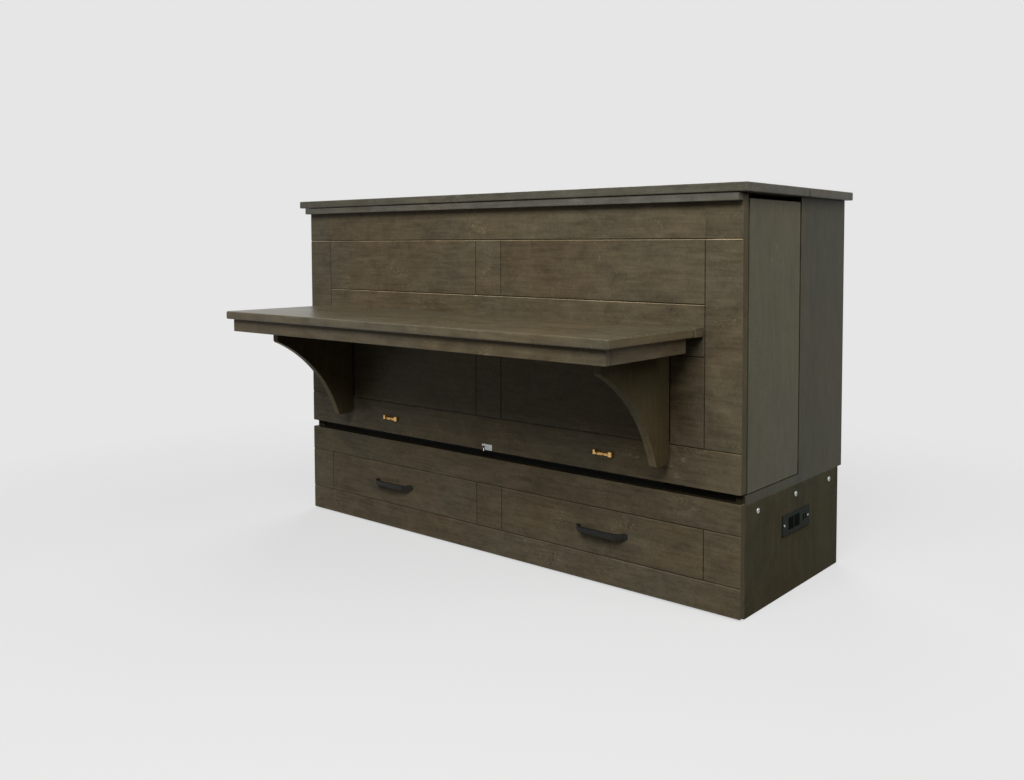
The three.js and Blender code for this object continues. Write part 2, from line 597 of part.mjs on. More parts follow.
// The leaf's hinge lies under the seam, with its barrel below the boards.
function addDeskHinge() {
  const at = [-DESK_RAIL_DEPTH - SEAM / 2, deskBottom - HINGE_SHEET - BARREL_RADIUS];
  const end = corbelPivot - corbelReach - DESK_HINGE_CLEAR;
  const x = [-end, end];
  const base = { x, knuckles: DESK_KNUCKLES, at };
  const sheetZ = [deskBottom - HINGE_SHEET, deskBottom];
  const webZ = [at[1], deskBottom];
  const webNear = PIN_RADIUS + RUNNING_GAP; // the webs stand this far each side of the pin's axis
  const webFar = webNear + HINGE_SHEET;
  const onRail = block(x, [at[0] + webNear, at[0] + HINGE_LEAF], sheetZ);
  const onLeaf = block(x, [at[0] - HINGE_LEAF, at[0] - webNear], sheetZ);
  const railWeb = notchedSheet(block(x, [at[0] + webNear, at[0] + webFar], webZ), { ...base, turn: 0 });
  const leafWeb = notchedSheet(block(x, [at[0] - webFar, at[0] - webNear], webZ), { ...base, turn: 1 });
  add("desk_hinge_rail_leaf", hingeLeaf({ ...base, turn: 0, sheets: [onRail, railWeb] }), steel);
  add("desk_hinge_desk_leaf", hingeLeaf({ ...base, turn: 1, sheets: [onLeaf, leafWeb] }), steel);
}

// A corbel's side view: a straight back and top, a short nose, and a hollow front edge.
function corbelOutline() {
  const top = deskBottom - RUNNING_GAP;
  const back = -CORBEL_DOOR_GAP;
  const noseLow = top - CORBEL_NOSE;
  const from = new THREE.Vector2(-corbelReach, noseLow);
  const to = new THREE.Vector2(-CORBEL_FOOT, corbelBottom);
  const chord = to.clone().sub(from);
  const middle = from.clone().add(to).multiplyScalar(0.5);
  const away = Math.sqrt(CORBEL_ARC ** 2 - chord.lengthSq() / 4);
  const outward = new THREE.Vector2(chord.y, -chord.x).normalize();
  const centre = middle.clone().add(outward.multiplyScalar(away));
  const start = Math.atan2(from.y - centre.y, from.x - centre.x);
  const end = Math.atan2(to.y - centre.y, to.x - centre.x);
  const points = [new THREE.Vector2(back, corbelBottom), new THREE.Vector2(back, top)];
  points.push(new THREE.Vector2(-corbelReach, top));
  const steps = 14;
  for (let i = 0; i <= steps; i += 1) {
    const angle = start + ((end - start) * i) / steps;
    const onArc = new THREE.Vector2(Math.cos(angle), Math.sin(angle)).multiplyScalar(CORBEL_ARC);
    points.push(onArc.add(centre));
  }
  return points;
}

// Both corbels fold inward on upright hinges at their inner rear corners.
function addCorbels() {
  const low = (corbelBottom + deskBottom - CORBEL_HINGE_LENGTH) / 2;
  const height = low + CORBEL_HINGE_LENGTH / 2;
  const pitch = CORBEL_HINGE_LENGTH / CORBEL_KNUCKLES;
  const upright = (radius, length, sides) =>
    rod(radius, length, "z", sides).translate(corbelPivot, -CORBEL_DOOR_GAP / 2, 0);
  const share = (turn, sheetY) => {
    const pieces = [];
    for (let i = turn; i < CORBEL_KNUCKLES; i += 2) {
      const z = [low + pitch * i + RUNNING_GAP, low + pitch * (i + 1) - RUNNING_GAP];
      pieces.push(upright(BARREL_RADIUS, z[1] - z[0]).translate(0, 0, (z[0] + z[1]) / 2));
      pieces.push(block([corbelPivot, corbelPivot + CORBEL_HINGE_LEAF], sheetY, z));
    }
    return pieces;
  };
  const span = [low, low + CORBEL_HINGE_LENGTH];
  const stripStart = corbelPivot + BARREL_RADIUS + HINGE_SHEET;
  const strip = (width, sheetY) => block([stripStart, corbelPivot + width], sheetY, span);
  const doorSheetY = [-HINGE_SHEET, 0];
  const corbelSheetY = [-CORBEL_DOOR_GAP, -CORBEL_DOOR_GAP + HINGE_SHEET];
  const pin = upright(PIN_RADIUS, CORBEL_HINGE_LENGTH, PIN_SIDES).translate(0, 0, height);
  const bore = upright(PIN_RADIUS + RUNNING_GAP, CORBEL_HINGE_LENGTH + 2 * OVERCUT, PIN_SIDES);
  const doorStrip = strip(CORBEL_HINGE_DOOR_LEAF, doorSheetY);
  const corbelStrip = strip(CORBEL_HINGE_LEAF, corbelSheetY);
  const doorLeaf = join(...share(0, doorSheetY), doorStrip, pin);
  const corbelLeaf = cut(join(...share(1, corbelSheetY), corbelStrip), bore.translate(0, 0, height));
  const corbelX = [corbelPlace - CORBEL_THICKNESS / 2, corbelPlace + CORBEL_THICKNESS / 2];
  const corbel = sideProfile(corbelOutline(), corbelX);
  for (const [side, sign] of [["left", -1], ["right", 1]]) {
    add(`corbel_${side}`, sign > 0 ? corbel : mirrorX(corbel), wood);
    add(`corbel_hinge_door_leaf_${side}`, sign > 0 ? doorLeaf : mirrorX(doorLeaf), blackMetal);
    add(`corbel_hinge_corbel_leaf_${side}`, sign > 0 ? corbelLeaf : mirrorX(corbelLeaf), blackMetal);
  }
}

// The mirror image across x = 0, with its faces turned the right way out again.
function mirrorX(geometry) {
  const copy = geometry.index ? geometry.toNonIndexed() : geometry.clone();
  const place = copy.attributes.position;
  for (let i = 0; i < place.count; i += 3) {
    const corner = [0, 1, 2].map((k) => [-place.getX(i + k), place.getY(i + k), place.getZ(i + k)]);
    place.setXYZ(i, ...corner[0]);
    place.setXYZ(i + 1, ...corner[2]);
    place.setXYZ(i + 2, ...corner[1]);
  }
  copy.computeVertexNormals();
  return copy;
}

// ---------------------------------------------------------------- fold-away bed
const footFront = DOOR_THICKNESS + FOOT_DOOR_GAP;
const footRear = footFront + FOOT_THICKNESS;
const footTop = doorTop - FOOT_TOP_GAP;

function addFootPlatform() {
  const bottom = doorBottom + FOOT_RISE;
  const x = [-footWidth / 2, footWidth / 2];
  const panel = board(x, [footFront, footRear], [bottom, footTop], PANEL_EDGE, "y", 1);
  add("foot_platform", panel, innerWood);
  const at = [DOOR_THICKNESS + FOOT_DOOR_GAP / 2, footTop + BARREL_RADIUS + RUNNING_GAP];
  const hx = [-half + FOOT_HINGE_INSET, half - FOOT_HINGE_INSET];
  const base = { x: hx, knuckles: FOOT_KNUCKLES, at };
  const z = [footTop - HINGE_LEAF, at[1]];
  const doorSheet = block(hx, [DOOR_THICKNESS, DOOR_THICKNESS + HINGE_SHEET], z);
  const footSheet = block(hx, [footFront - HINGE_SHEET, footFront], z);
  const onDoor = notchedSheet(doorSheet, { ...base, turn: 0 });
  const onFoot = notchedSheet(footSheet, { ...base, turn: 1 });
  add("foot_hinge_door_leaf", hingeLeaf({ ...base, turn: 0, sheets: [onDoor] }), steel);
  add("foot_hinge_foot_leaf", hingeLeaf({ ...base, turn: 1, sheets: [onFoot] }), steel);
  addLegFrame(bottom + LEG_END_GAP);
}

// A folded U of steel tube, flat against the foot platform: a pivot tube, two legs and a floor bar.
function addLegFrame(pivotZ) {
  const y = footRear + LEG_TUBE + RUNNING_GAP;
  const width = footWidth - 2 * LEG_FRAME_INSET;
  const w = width / 2 - LEG_TUBE;
  const middle = pivotZ + LEG_HEIGHT / 2;
  const level = (z) => rod(LEG_TUBE, width, "x", 16).translate(0, y, z);
  const upright = (x) => rod(LEG_TUBE - LEG_STEP, LEG_HEIGHT, "z", 16).translate(x, y, middle);
  add("foot_leg_frame", join(level(pivotZ), level(pivotZ + LEG_HEIGHT), upright(-w), upright(w)), blackMetal);
}

function addMattress() {
  const x = [-sideInner + MATTRESS_SIDE_GAP, sideInner - MATTRESS_SIDE_GAP];
  const z = [platformTop + RUNNING_GAP, lidBottom - MATTRESS_LID_GAP];
  const front = footRear + 2 * LEG_TUBE + LEG_MATTRESS_GAP;
  const rear = BODY_DEPTH - BACK_THICKNESS - MATTRESS_REAR_GAP;
  const pitch = (rear - front + MATTRESS_GAP) / MATTRESS_SECTIONS.length;
  MATTRESS_SECTIONS.forEach((place, i) => {
    const y = [front + i * pitch, front + (i + 1) * pitch - MATTRESS_GAP];
    add(`mattress_${place}`, board(x, y, z, MATTRESS_EDGE, "y"), fabric);
  });
}

// ---------------------------------------------------------------- small fittings
// A brass slide bolt on the door's lower rail: a plate with two guides and a keeper, and its rod.
function addCatches() {
  const l = CATCH_LENGTH / 2;
  const rodY = -CATCH_PLATE - CATCH_WALL / 2 - CATCH_ROD;
  const height = doorBottom + CATCH_RISE;
  const plateZ = [height - CATCH_WIDTH / 2, height + CATCH_WIDTH / 2];
  const guideZ = [plateZ[0] + CATCH_WALL, plateZ[1] - CATCH_WALL];
  const guideY = [rodY - CATCH_ROD - CATCH_WALL, 0];
  for (const [side, sign] of [["left", -1], ["right", 1]]) {
    const x = sign * (half - CATCH_INSET);
    const plate = block([x - l, x + l], [-CATCH_PLATE, 0], plateZ);
    const guide = (low) => block([low, low + CATCH_LOOP], guideY, guideZ);
    const guides = [x - l, x, x + l - CATCH_LOOP].map(guide);
    const bore = rod(CATCH_ROD + RUNNING_GAP / 2, CATCH_LENGTH + 2 * OVERCUT, "x");
    const holder = cut(join(plate, ...guides), bore.translate(x, rodY, height));
    add(`door_bolt_plate_${side}`, holder, brass);
    const rodX = [x - l, x + l - CATCH_LOOP - CATCH_TRAVEL / 2];
    const shaft = rod(CATCH_ROD, rodX[1] - rodX[0], "x");
    shaft.translate((rodX[0] + rodX[1]) / 2, rodY, height);
    const knobX = x - l + CATCH_LOOP + CATCH_KNOB + CATCH_WALL;
    const knob = rod(CATCH_KNOB, CATCH_KNOB_LENGTH, "y");
    knob.translate(knobX, rodY - CATCH_KNOB_LENGTH / 2, height);
    add(`door_bolt_rod_${side}`, join(shaft, knob), brass);
  }
}

// The latch at the middle of the door's lower edge: a plate, and a lever on its own hub, which
// swings over the plate's face.
function addLatch() {
  const low = doorBottom + LATCH_RISE;
  const plateX = [-LATCH_WIDTH / 2, LATCH_WIDTH / 2];
  add("latch_plate", block(plateX, [-LATCH_SHEET, 0], [low, low + LATCH_HEIGHT]), steel);
  const hubX = plateX[0] - LATCH_HUB - 2 * RUNNING_GAP;
  const middle = low + LATCH_HEIGHT / 2;
  const leverRear = -LATCH_SHEET - RUNNING_GAP;
  const hubLength = LATCH_SHEET - leverRear - RUNNING_GAP;
  const hub = rod(LATCH_HUB, hubLength, "y").translate(hubX, -RUNNING_GAP - hubLength / 2, middle);
  const arm = (tilt, reach) => {
    const bar = new THREE.BoxGeometry(LATCH_ARM_WIDTH, LATCH_SHEET, reach).translate(0, 0, reach / 2);
    return bar.rotateY(tilt).translate(hubX, leverRear - LATCH_SHEET / 2, middle);
  };
  const arms = [arm(Math.PI, LATCH_ARM), arm(-0.6, LATCH_SHORT_ARM), arm(0.35, LATCH_SHORT_ARM)];
  add("latch_lever", join(hub, ...arms), steel);
}

function addOutlet() {
  const y = [OUTLET_DEPTH_PLACE - OUTLET_LENGTH / 2, OUTLET_DEPTH_PLACE + OUTLET_LENGTH / 2];
  const z = [OUTLET_HEIGHT - OUTLET_WIDTH / 2, OUTLET_HEIGHT + OUTLET_WIDTH / 2];
  add("outlet_plate", board([half, half + OUTLET_PLATE], y, z, PANEL_EDGE, "x"), blackPlastic);
  const hole = outletSpan();
  const boxY = [hole.y[0] + RUNNING_GAP, hole.y[1] - RUNNING_GAP];
  const boxZ = [hole.z[0] + RUNNING_GAP, hole.z[1] - RUNNING_GAP];
  add("outlet_box", block([half - OUTLET_BOX_DEPTH, half], boxY, boxZ), blackPlastic);
}

addBase();
addDrawer();
addUpperCabinet();
addLidHinge();
addDoor();
addBedHinge();
addDesk();
addCorbels();
addFootPlatform();
addMattress();
addCatches();
addLatch();
addOutlet();

export default bed;
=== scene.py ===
"""Looks of the cabinet wall bed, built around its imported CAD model. All lengths are in metres."""

import math

import bmesh
import bpy
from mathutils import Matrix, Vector
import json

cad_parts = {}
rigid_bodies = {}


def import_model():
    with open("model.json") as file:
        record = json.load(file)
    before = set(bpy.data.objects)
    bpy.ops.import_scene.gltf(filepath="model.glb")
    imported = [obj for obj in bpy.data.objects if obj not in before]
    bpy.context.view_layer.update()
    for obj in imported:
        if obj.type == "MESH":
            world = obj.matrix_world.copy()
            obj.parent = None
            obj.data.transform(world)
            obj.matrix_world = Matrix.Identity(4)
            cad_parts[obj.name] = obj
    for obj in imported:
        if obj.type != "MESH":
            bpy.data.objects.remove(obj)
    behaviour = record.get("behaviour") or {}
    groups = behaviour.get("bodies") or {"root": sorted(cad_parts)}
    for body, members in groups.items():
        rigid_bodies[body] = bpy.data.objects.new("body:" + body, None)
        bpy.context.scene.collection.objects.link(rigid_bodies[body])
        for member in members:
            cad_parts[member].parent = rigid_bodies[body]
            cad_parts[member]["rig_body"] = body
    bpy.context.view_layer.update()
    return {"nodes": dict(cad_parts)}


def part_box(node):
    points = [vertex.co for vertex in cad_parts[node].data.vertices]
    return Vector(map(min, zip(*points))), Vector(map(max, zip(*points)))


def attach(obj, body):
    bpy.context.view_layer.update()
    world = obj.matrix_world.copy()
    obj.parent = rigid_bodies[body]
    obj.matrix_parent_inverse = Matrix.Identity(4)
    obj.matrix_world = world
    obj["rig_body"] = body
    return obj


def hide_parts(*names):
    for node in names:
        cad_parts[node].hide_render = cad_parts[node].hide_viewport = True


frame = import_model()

MM = 0.001
AXES = X_AXIS, Y_AXIS, Z_AXIS = 0, 1, 2


def other_axes(axis):
    return [other for other in AXES if other != axis]


# ---------------------------------------------------------------- node trees
class Nodes:
    """Adds nodes to a tree. An input is a number, a colour or the output of another node."""

    def __init__(self, tree):
        self.tree = tree
        self.tree.nodes.clear()

    def add(self, kind, inputs=None, **settings):
        node = self.tree.nodes.new(kind)
        for key, value in settings.items():
            setattr(node, key, value)
        for key, value in (inputs or {}).items():
            if isinstance(value, bpy.types.NodeSocket):
                self.tree.links.new(value, node.inputs[key])
            else:
                node.inputs[key].default_value = value
        return node

    def math(self, operation, *values):
        return self.add("ShaderNodeMath", dict(enumerate(values)), operation=operation).outputs[0]

    def sum(self, *values):
        total = values[0]
        for value in values[1:]:
            total = self.math("ADD", total, value)
        return total

    def product(self, *values):
        total = values[0]
        for value in values[1:]:
            total = self.math("MULTIPLY", total, value)
        return total

    def above(self, value, limit):
        """1 where a value is above a limit, and 0 elsewhere."""
        return self.math("GREATER_THAN", value, limit)

    def below(self, value, limit):
        """1 where a value is below a limit, and 0 elsewhere."""
        return self.math("LESS_THAN", value, limit)

    def less(self, value):
        """1 less a value."""
        return self.math("SUBTRACT", 1.0, value)

    def thin_lines(self, value, count, sharpness):
        """Thin lines along the contours of a value: 1 on a line, and 0 between two lines."""
        wave = self.math("ABSOLUTE", self.math("SINE", self.product(value, count)))
        return self.math("POWER", self.less(wave), sharpness)

    def remap(self, value, low, high, to_low=0.0, to_high=1.0):
        inputs = {0: value, 1: low, 2: high, 3: to_low, 4: to_high}
        return self.add("ShaderNodeMapRange", inputs).outputs[0]

    def mix(self, share, first, second):
        inputs = {0: share, 6: first, 7: second}
        return self.add("ShaderNodeMix", inputs, data_type="RGBA").outputs[2]

    def noise(self, vector, scale=1.0, detail=2.0, roughness=0.5, distortion=0.0):
        inputs = {
            "Vector": vector,
            "Scale": scale,
            "Detail": detail,
            "Roughness": roughness,
            "Distortion": distortion,
        }
        return self.add("ShaderNodeTexNoise", inputs).outputs["Fac"]

    def place(self):
        """Where a point lies on its own piece."""
        return self.add("ShaderNodeTexCoord").outputs["Object"]

    def split(self, vector):
        return self.add("ShaderNodeSeparateXYZ", {0: vector}).outputs

    def stretch(self, vector, scale, turn=(0, 0, 0)):
        inputs = {"Vector": vector, "Scale": scale, "Rotation": turn}
        return self.add("ShaderNodeMapping", inputs).outputs[0]

    def bump(self, height, strength, distance):
        inputs = {"Height": height, "Strength": strength, "Distance": distance}
        return self.add("ShaderNodeBump", inputs).outputs[0]

    def seen_rays(self):
        """1 for rays from the camera, off a glossy surface or through glass, and 0 for the others."""
        path = self.add("ShaderNodeLightPath").outputs
        onward = self.math("MAXIMUM", path["Is Glossy Ray"], path["Is Transmission Ray"])
        return self.math("MAXIMUM", path["Is Camera Ray"], onward)


class Shading(Nodes):
    """A material and its node tree."""

    def __init__(self, name):
        self.material = bpy.data.materials.new(name)
        self.material.use_nodes = True
        super().__init__(self.material.node_tree)

    def surface(self, inputs):
        shader = self.add("ShaderNodeBsdfPrincipled", inputs)
        self.add("ShaderNodeOutputMaterial", {"Surface": shader.outputs[0]})
        return self.material


def shade(tint, factor=1.0):
    """A colour with its alpha, from a tint's three channels times a factor."""
    return [min(1.0, channel * factor) for channel in tint] + [1.0]


# ---------------------------------------------------------------- stained wood
def groove_tone(s, parts, panel):
    """1 on a panel's face, less in its V-grooves and on its upper edge, more where a groove faces up.

    The grooves hold painted shade together with the stain that gathers in them. The upper edge gets painted
    shade for the shadow in the gap above it. The upward flanks of the grooves get a painted highlight, strong
    above the desk and faint in its shade below.
    """
    face, half_length, low, high = panel
    shallow, deep, behind = 0.7 * MM, 2.2 * MM, 8 * MM
    end_margin, edge_margin, upper_margin = 2.5 * MM, 3 * MM, 0.4 * MM
    # How dark the painted shade is in the grooves and on the upper edge, and how far a flank must face up to
    # get the painted highlight
    groove_shade_and_stain, upper_edge_shade, steepest = 0.76, 0.78, 0.3
    under_desk, over_desk = 0.62, 0.74
    # Strength of the painted highlight under the desk and above it
    least_highlight, most_highlight = 0.9, 6.0
    depth = s.remap(parts[Y_AXIS], face + shallow, face + deep)
    in_front = s.below(parts[Y_AXIS], face + behind)
    from_middle = s.math("ABSOLUTE", parts[X_AXIS])
    off_ends = s.below(from_middle, half_length - end_margin)
    over_low = s.above(parts[Z_AXIS], low + edge_margin)
    off_edges = s.product(over_low, s.below(parts[Z_AXIS], high - edge_margin))
    groove = s.product(s.product(depth, in_front), s.product(off_ends, off_edges))
    normal = s.add("ShaderNodeTexCoord").outputs["Normal"]
    faces_up = s.above(s.split(normal)[Z_AXIS], steepest)
    # Painted highlight on the upward flanks, growing from under the desk to above it
    wear_and_highlight = s.remap(parts[Z_AXIS], under_desk, over_desk, least_highlight, most_highlight)
    painted_highlight = s.product(groove, faces_up, wear_and_highlight)
    # Painted shade in the grooves, together with the stain that gathers there
    shaded_and_stained = s.less(s.product(groove, groove_shade_and_stain))
    # Painted shade on the upper edge, for the shadow in the gap above it
    shaded_upper_edge = s.above(parts[Z_AXIS], high - upper_margin)
    return s.product(s.sum(shaded_and_stained, painted_highlight), s.less(s.product(shaded_upper_edge, upper_edge_shade)))


def board_shift(s, parts, grooves):
    """How far the figure is moved along the grain: another distance for each board between grooves."""
    first_shift, more_shift = 3.7, 1.9
    shift = 0.0
    for number, (groove_axis, place, other_axis, low, high) in enumerate(grooves):
        past = s.above(parts[groove_axis], place)
        within = s.product(s.above(parts[other_axis], low), s.below(parts[other_axis], high))
        shift = s.sum(shift, s.product(past, within, first_shift + more_shift * number))
    return shift


def growth_rings(s, parts, space, knots):
    """The thin dark lines of the growth rings, which bend around the knots."""
    knot_rise, narrow_x, narrow_z = 0.22, 14.0, 34.0
    rise = s.noise(space(0.75, 4.2), detail=1.5, roughness=0.4, distortion=0.7)
    for knot_x, knot_z in knots:
        far_x = s.product(s.math("SUBTRACT", parts[X_AXIS], knot_x), narrow_x)
        far_z = s.product(s.math("SUBTRACT", parts[Z_AXIS], knot_z), narrow_z)
        square = s.sum(s.product(far_x, far_x), s.product(far_z, far_z))
        rise = s.sum(rise, s.math("DIVIDE", knot_rise, s.sum(square, 1.0)))
    share = s.remap(s.noise(space(2.5, 9.0)), 0.42, 0.68)
    return s.product(s.thin_lines(rise, 75.0, 5.0), share)


def pale_curls(s, space):
    """Fine pale curls, where the grain turns, on a few patches of the board."""
    curl = s.noise(space(13.0, 26.0), distortion=1.8)
    share = s.remap(s.noise(space(6.1, 9.3)), 0.56, 0.68)
    return s.product(s.thin_lines(curl, 26.0, 9.0), share)


def wiping_strokes(s, place, grain):
    """The marks of the cloth that wiped the stain: along the grain, slanted on lengthwise boards."""
    strokes_across, strokes_along = 120.0, 9.0
    scale = [strokes_across] * 3
    scale[grain] = strokes_along
    slant = (0.0, math.radians(-28), math.radians(24)) if grain == X_AXIS else (0.0, 0.0, 0.0)
    return s.noise(s.stretch(place, scale, slant))


WARMER, COOLER = (1.04, 0.98, 0.90), (0.97, 1.02, 1.05)


def stained_wood(name, grain, tint, grooves=(), knots=(), panel=None, gloss=0.38, shine=0.10, figure=1.0):
    """Wood under a satin grey-brown stain, with its grain along one axis.

    grooves are V-grooves as (axis, place, other axis, low, high): each board between them has its own
    figure. knots are (x, z) places on an upright board. panel is the grooved board's own
    (face, half length, low, high), where its grooves and upper edge get painted shade and the upward
    flanks of its grooves a painted highlight. tint is the stain's middle colour. figure is the strength of
    the wood's figure.
    """
    s = Shading(name)
    place = s.place()
    parts = s.split(place)
    along = s.sum(parts[grain], board_shift(s, parts, grooves))
    across = [parts[axis] for axis in other_axes(grain)]

    def space(lengthwise, crosswise):
        """Coordinates with this many units to the metre along the grain and across it."""
        inputs = {0: s.product(along, lengthwise)}
        for index, part in enumerate(across, 1):
            inputs[index] = s.product(part, crosswise)
        return s.add("ShaderNodeCombineXYZ", inputs).outputs[0]

    cloud = s.noise(space(2.2, 5.5), detail=3.0, roughness=0.6)
    mottle = s.noise(space(14.0, 22.0), detail=3.0, roughness=0.6, distortion=0.8)
    fibres = s.noise(space(14.0, 110.0), detail=3.0, roughness=0.6)
    fine_fibres = s.noise(space(22.0, 700.0))
    strokes = wiping_strokes(s, place, grain)
    speckle = s.noise(place, scale=420.0, roughness=0.6)
    fleck = s.noise(place, scale=130.0, roughness=0.6)

    def swing(value, share):
        return s.product(s.math("SUBTRACT", value, 0.5), share)

    tone = s.sum(
        1.0,
        swing(cloud, 0.65),
        swing(mottle, 1.00 * figure),
        swing(fibres, 0.18 * figure),
        swing(fine_fibres, 0.18 * figure),
        swing(strokes, 0.72 * figure),
        swing(speckle, 0.55 * figure),
        swing(fleck, 0.42 * figure),
        s.product(growth_rings(s, parts, space, knots), -0.16 * figure),
        s.product(pale_curls(s, space), 1.50 * figure),
    )
    # Painted shade and painted highlights of a grooved panel
    if panel:
        tone = s.product(tone, groove_tone(s, parts, panel))
    warm = shade([channel * share for channel, share in zip(tint, WARMER)])
    cool = shade([channel * share for channel, share in zip(tint, COOLER)])
    patch = s.noise(space(2.6, 2.6), detail=3.0, roughness=0.6)
    stain = s.mix(s.remap(patch, 0.38, 0.62), warm, cool)
    colour = s.add("ShaderNodeVectorMath", {0: stain, "Scale": tone}, operation="SCALE").outputs[0]
    height = s.sum(s.product(fibres, 0.7), s.product(fine_fibres, 0.5))
    wear_and_highlight = s.sum(s.product(cloud, 0.7), s.product(fibres, 0.3))
    return s.surface(
        {
            "Base Color": colour,
            "Roughness": s.remap(wear_and_highlight, 0.3, 0.7, gloss - 0.05, gloss + 0.07),
            "Specular IOR Level": shine,
            "Specular Tint": (1.0, 0.93, 0.80, 1.0),
            "Normal": s.bump(height, 0.10, 0.6 * MM),
        }
    )


# ---------------------------------------------------------------- other materials
def inner_board():
    """Clear-coated birch board, as on the drawer box and the platforms."""
    s = Shading("inner_board_birch")
    place = s.place()
    fibres = s.noise(s.stretch(place, (2.0, 60.0, 60.0)), detail=4.0, roughness=0.6)
    waves = s.noise(s.stretch(place, (0.8, 6.0, 6.0)), distortion=1.2)
    rings = s.math("SINE", s.product(waves, 60.0))
    tone = s.sum(fibres, s.product(rings, 0.08))
    colour = s.mix(s.remap(tone, 0.25, 0.75), shade((0.34, 0.245, 0.145)), shade((0.50, 0.39, 0.26)))
    return s.surface(
        {
            "Base Color": colour,
            "Roughness": s.remap(fibres, 0.2, 0.8, 0.42, 0.58),
            "Normal": s.bump(fibres, 0.12, 0.5 * MM),
        }
    )


def metal(name, tint, roughness, brushed, along=(1.0, 1.0, 1.0)):
    """Metal with fine brushing or mill marks, and soft cloudy wear."""
    s = Shading(name)
    place = s.place()
    marks = s.noise(s.stretch(place, tuple(700.0 * share for share in along)))
    cloud = s.noise(place, scale=60.0, detail=3.0)
    wear_and_highlight = s.sum(s.product(marks, brushed), cloud)
    return s.surface(
        {
            "Base Color": s.mix(s.remap(cloud, 0.3, 0.7), shade(tint, 0.82), shade(tint, 1.08)),
            "Metallic": 1.0,
            "Roughness": s.remap(wear_and_highlight, 0.3, 1.0, roughness - 0.06, roughness + 0.10),
            "Normal": s.bump(marks, 0.08 * brushed, 0.1 * MM),
        }
    )


def coated_black(name, tint, roughness, grit, shine):
    """Black powder coat or moulded plastic: a fine grit in the height and in the gloss."""
    s = Shading(name)
    place = s.place()
    grain = s.noise(place, scale=grit, detail=3.0, roughness=0.7)
    cloud = s.noise(place, scale=45.0)
    return s.surface(
        {
            "Base Color": s.mix(s.remap(cloud, 0.3, 0.7), shade(tint, 0.8), shade(tint, 1.3)),
            "Roughness": s.remap(grain, 0.3, 0.7, roughness - 0.06, roughness + 0.08),
            "Specular IOR Level": shine,
            "Normal": s.bump(grain, 0.18, 0.15 * MM),
        }
    )


def knit_fabric(name, tint):
    """Mattress ticking: a fine knit of crossed rows with a soft pile."""
    s = Shading(name)
    place = s.place()
    parts = s.split(place)
    stitch = 2.4 * MM
    turns = 2 * math.pi / stitch
    row = s.math("SINE", s.product(parts[Z_AXIS], turns))
    column = s.math("SINE", s.product(s.sum(parts[X_AXIS], parts[Y_AXIS]), turns))
    weave = s.product(row, column)
    cloud = s.noise(place, scale=9.0, detail=4.0)
    fuzz = s.noise(place, scale=900.0)
    tone = s.sum(s.product(weave, 0.25), s.product(cloud, 0.6), s.product(fuzz, 0.4))
    return s.surface(
        {
            "Base Color": s.mix(s.remap(tone, 0.2, 0.8), shade(tint, 0.86), shade(tint, 1.05)),
            "Roughness": 0.9,
            "Sheen Weight": 0.25,
            "Sheen Roughness": 0.5,
            "Normal": s.bump(s.sum(weave, fuzz), 0.25, 0.4 * MM),
        }
    )


# Upright grooves lie at OUTER and MIDDLE from the bed's middle, and END is past the ends of its boards
OUTER, MIDDLE, END = 0.711, 0.049, 1.0
# V-grooves as (axis, place, other axis, low, high)
DOOR_GROOVES = (
    (Z_AXIS, 0.902, X_AXIS, -END, END),
    (Z_AXIS, 0.398, X_AXIS, -END, END),
    (Z_AXIS, 0.745, X_AXIS, -OUTER, OUTER),
    (Z_AXIS, 0.619, X_AXIS, -OUTER, OUTER),
    (X_AXIS, -OUTER, Z_AXIS, 0.398, 0.902),
    (X_AXIS, OUTER, Z_AXIS, 0.398, 0.902),
    (X_AXIS, -MIDDLE, Z_AXIS, 0.745, 0.902),
    (X_AXIS, MIDDLE, Z_AXIS, 0.745, 0.902),
    (X_AXIS, -MIDDLE, Z_AXIS, 0.398, 0.619),
    (X_AXIS, MIDDLE, Z_AXIS, 0.398, 0.619),
)
DRAWER_GROOVES = (
    (Z_AXIS, 0.203, X_AXIS, -END, END),
    (Z_AXIS, 0.078, X_AXIS, -END, END),
    (X_AXIS, -OUTER, Z_AXIS, 0.078, 0.203),
    (X_AXIS, -MIDDLE, Z_AXIS, 0.078, 0.203),
    (X_AXIS, MIDDLE, Z_AXIS, 0.078, 0.203),
    (X_AXIS, OUTER, Z_AXIS, 0.078, 0.203),
)
# Grooved boards as (face, half length, low, high), and their knots as (x, z)
PANEL_FACE, PANEL_HALF = -94.5 * MM, 0.813
DOOR_PANEL = (PANEL_FACE, PANEL_HALF, 0.301, 1.007)
DRAWER_PANEL = (PANEL_FACE, PANEL_HALF, 0.005, 0.280)
DOOR_KNOTS = ((0.63, 0.36), (-0.3, 0.83))
DRAWER_KNOTS = ((0.6, 0.24), (0.2, 0.05))

# Middle colours of the stain on each kind of board, and of the painted light and painted shade on a few edges
FRONT_TINT = (0.113, 0.091, 0.057)
FRONT_END_TINT = (0.100, 0.080, 0.044)
CROWN_TINT = (0.122, 0.113, 0.093)
SIDE_TINT = (0.110, 0.103, 0.066)
REAR_TINT = (0.082, 0.079, 0.055)
TOP_TINT = (0.102, 0.093, 0.070)
DESK_TINT = (0.114, 0.094, 0.058)
DESK_END_TINT = (0.130, 0.106, 0.064)
CORBEL_TINT = (0.092, 0.074, 0.039)
# Painted light: about twice the corbel's stain, for its front edges, which face away from the lamps
CORBEL_EDGE_LIT_TINT = (0.198, 0.170, 0.102)
BASE_TINT = (0.097, 0.087, 0.057)
# Painted shade for the upper sides' front edges, seen in the gap above the drawer
GAP_SHADE_TINT = (0.050, 0.042, 0.024)
# Painted shade, near black, for the front rail and the platform's front edge behind the drawer
SHADE_TINT = (0.016, 0.014, 0.010)

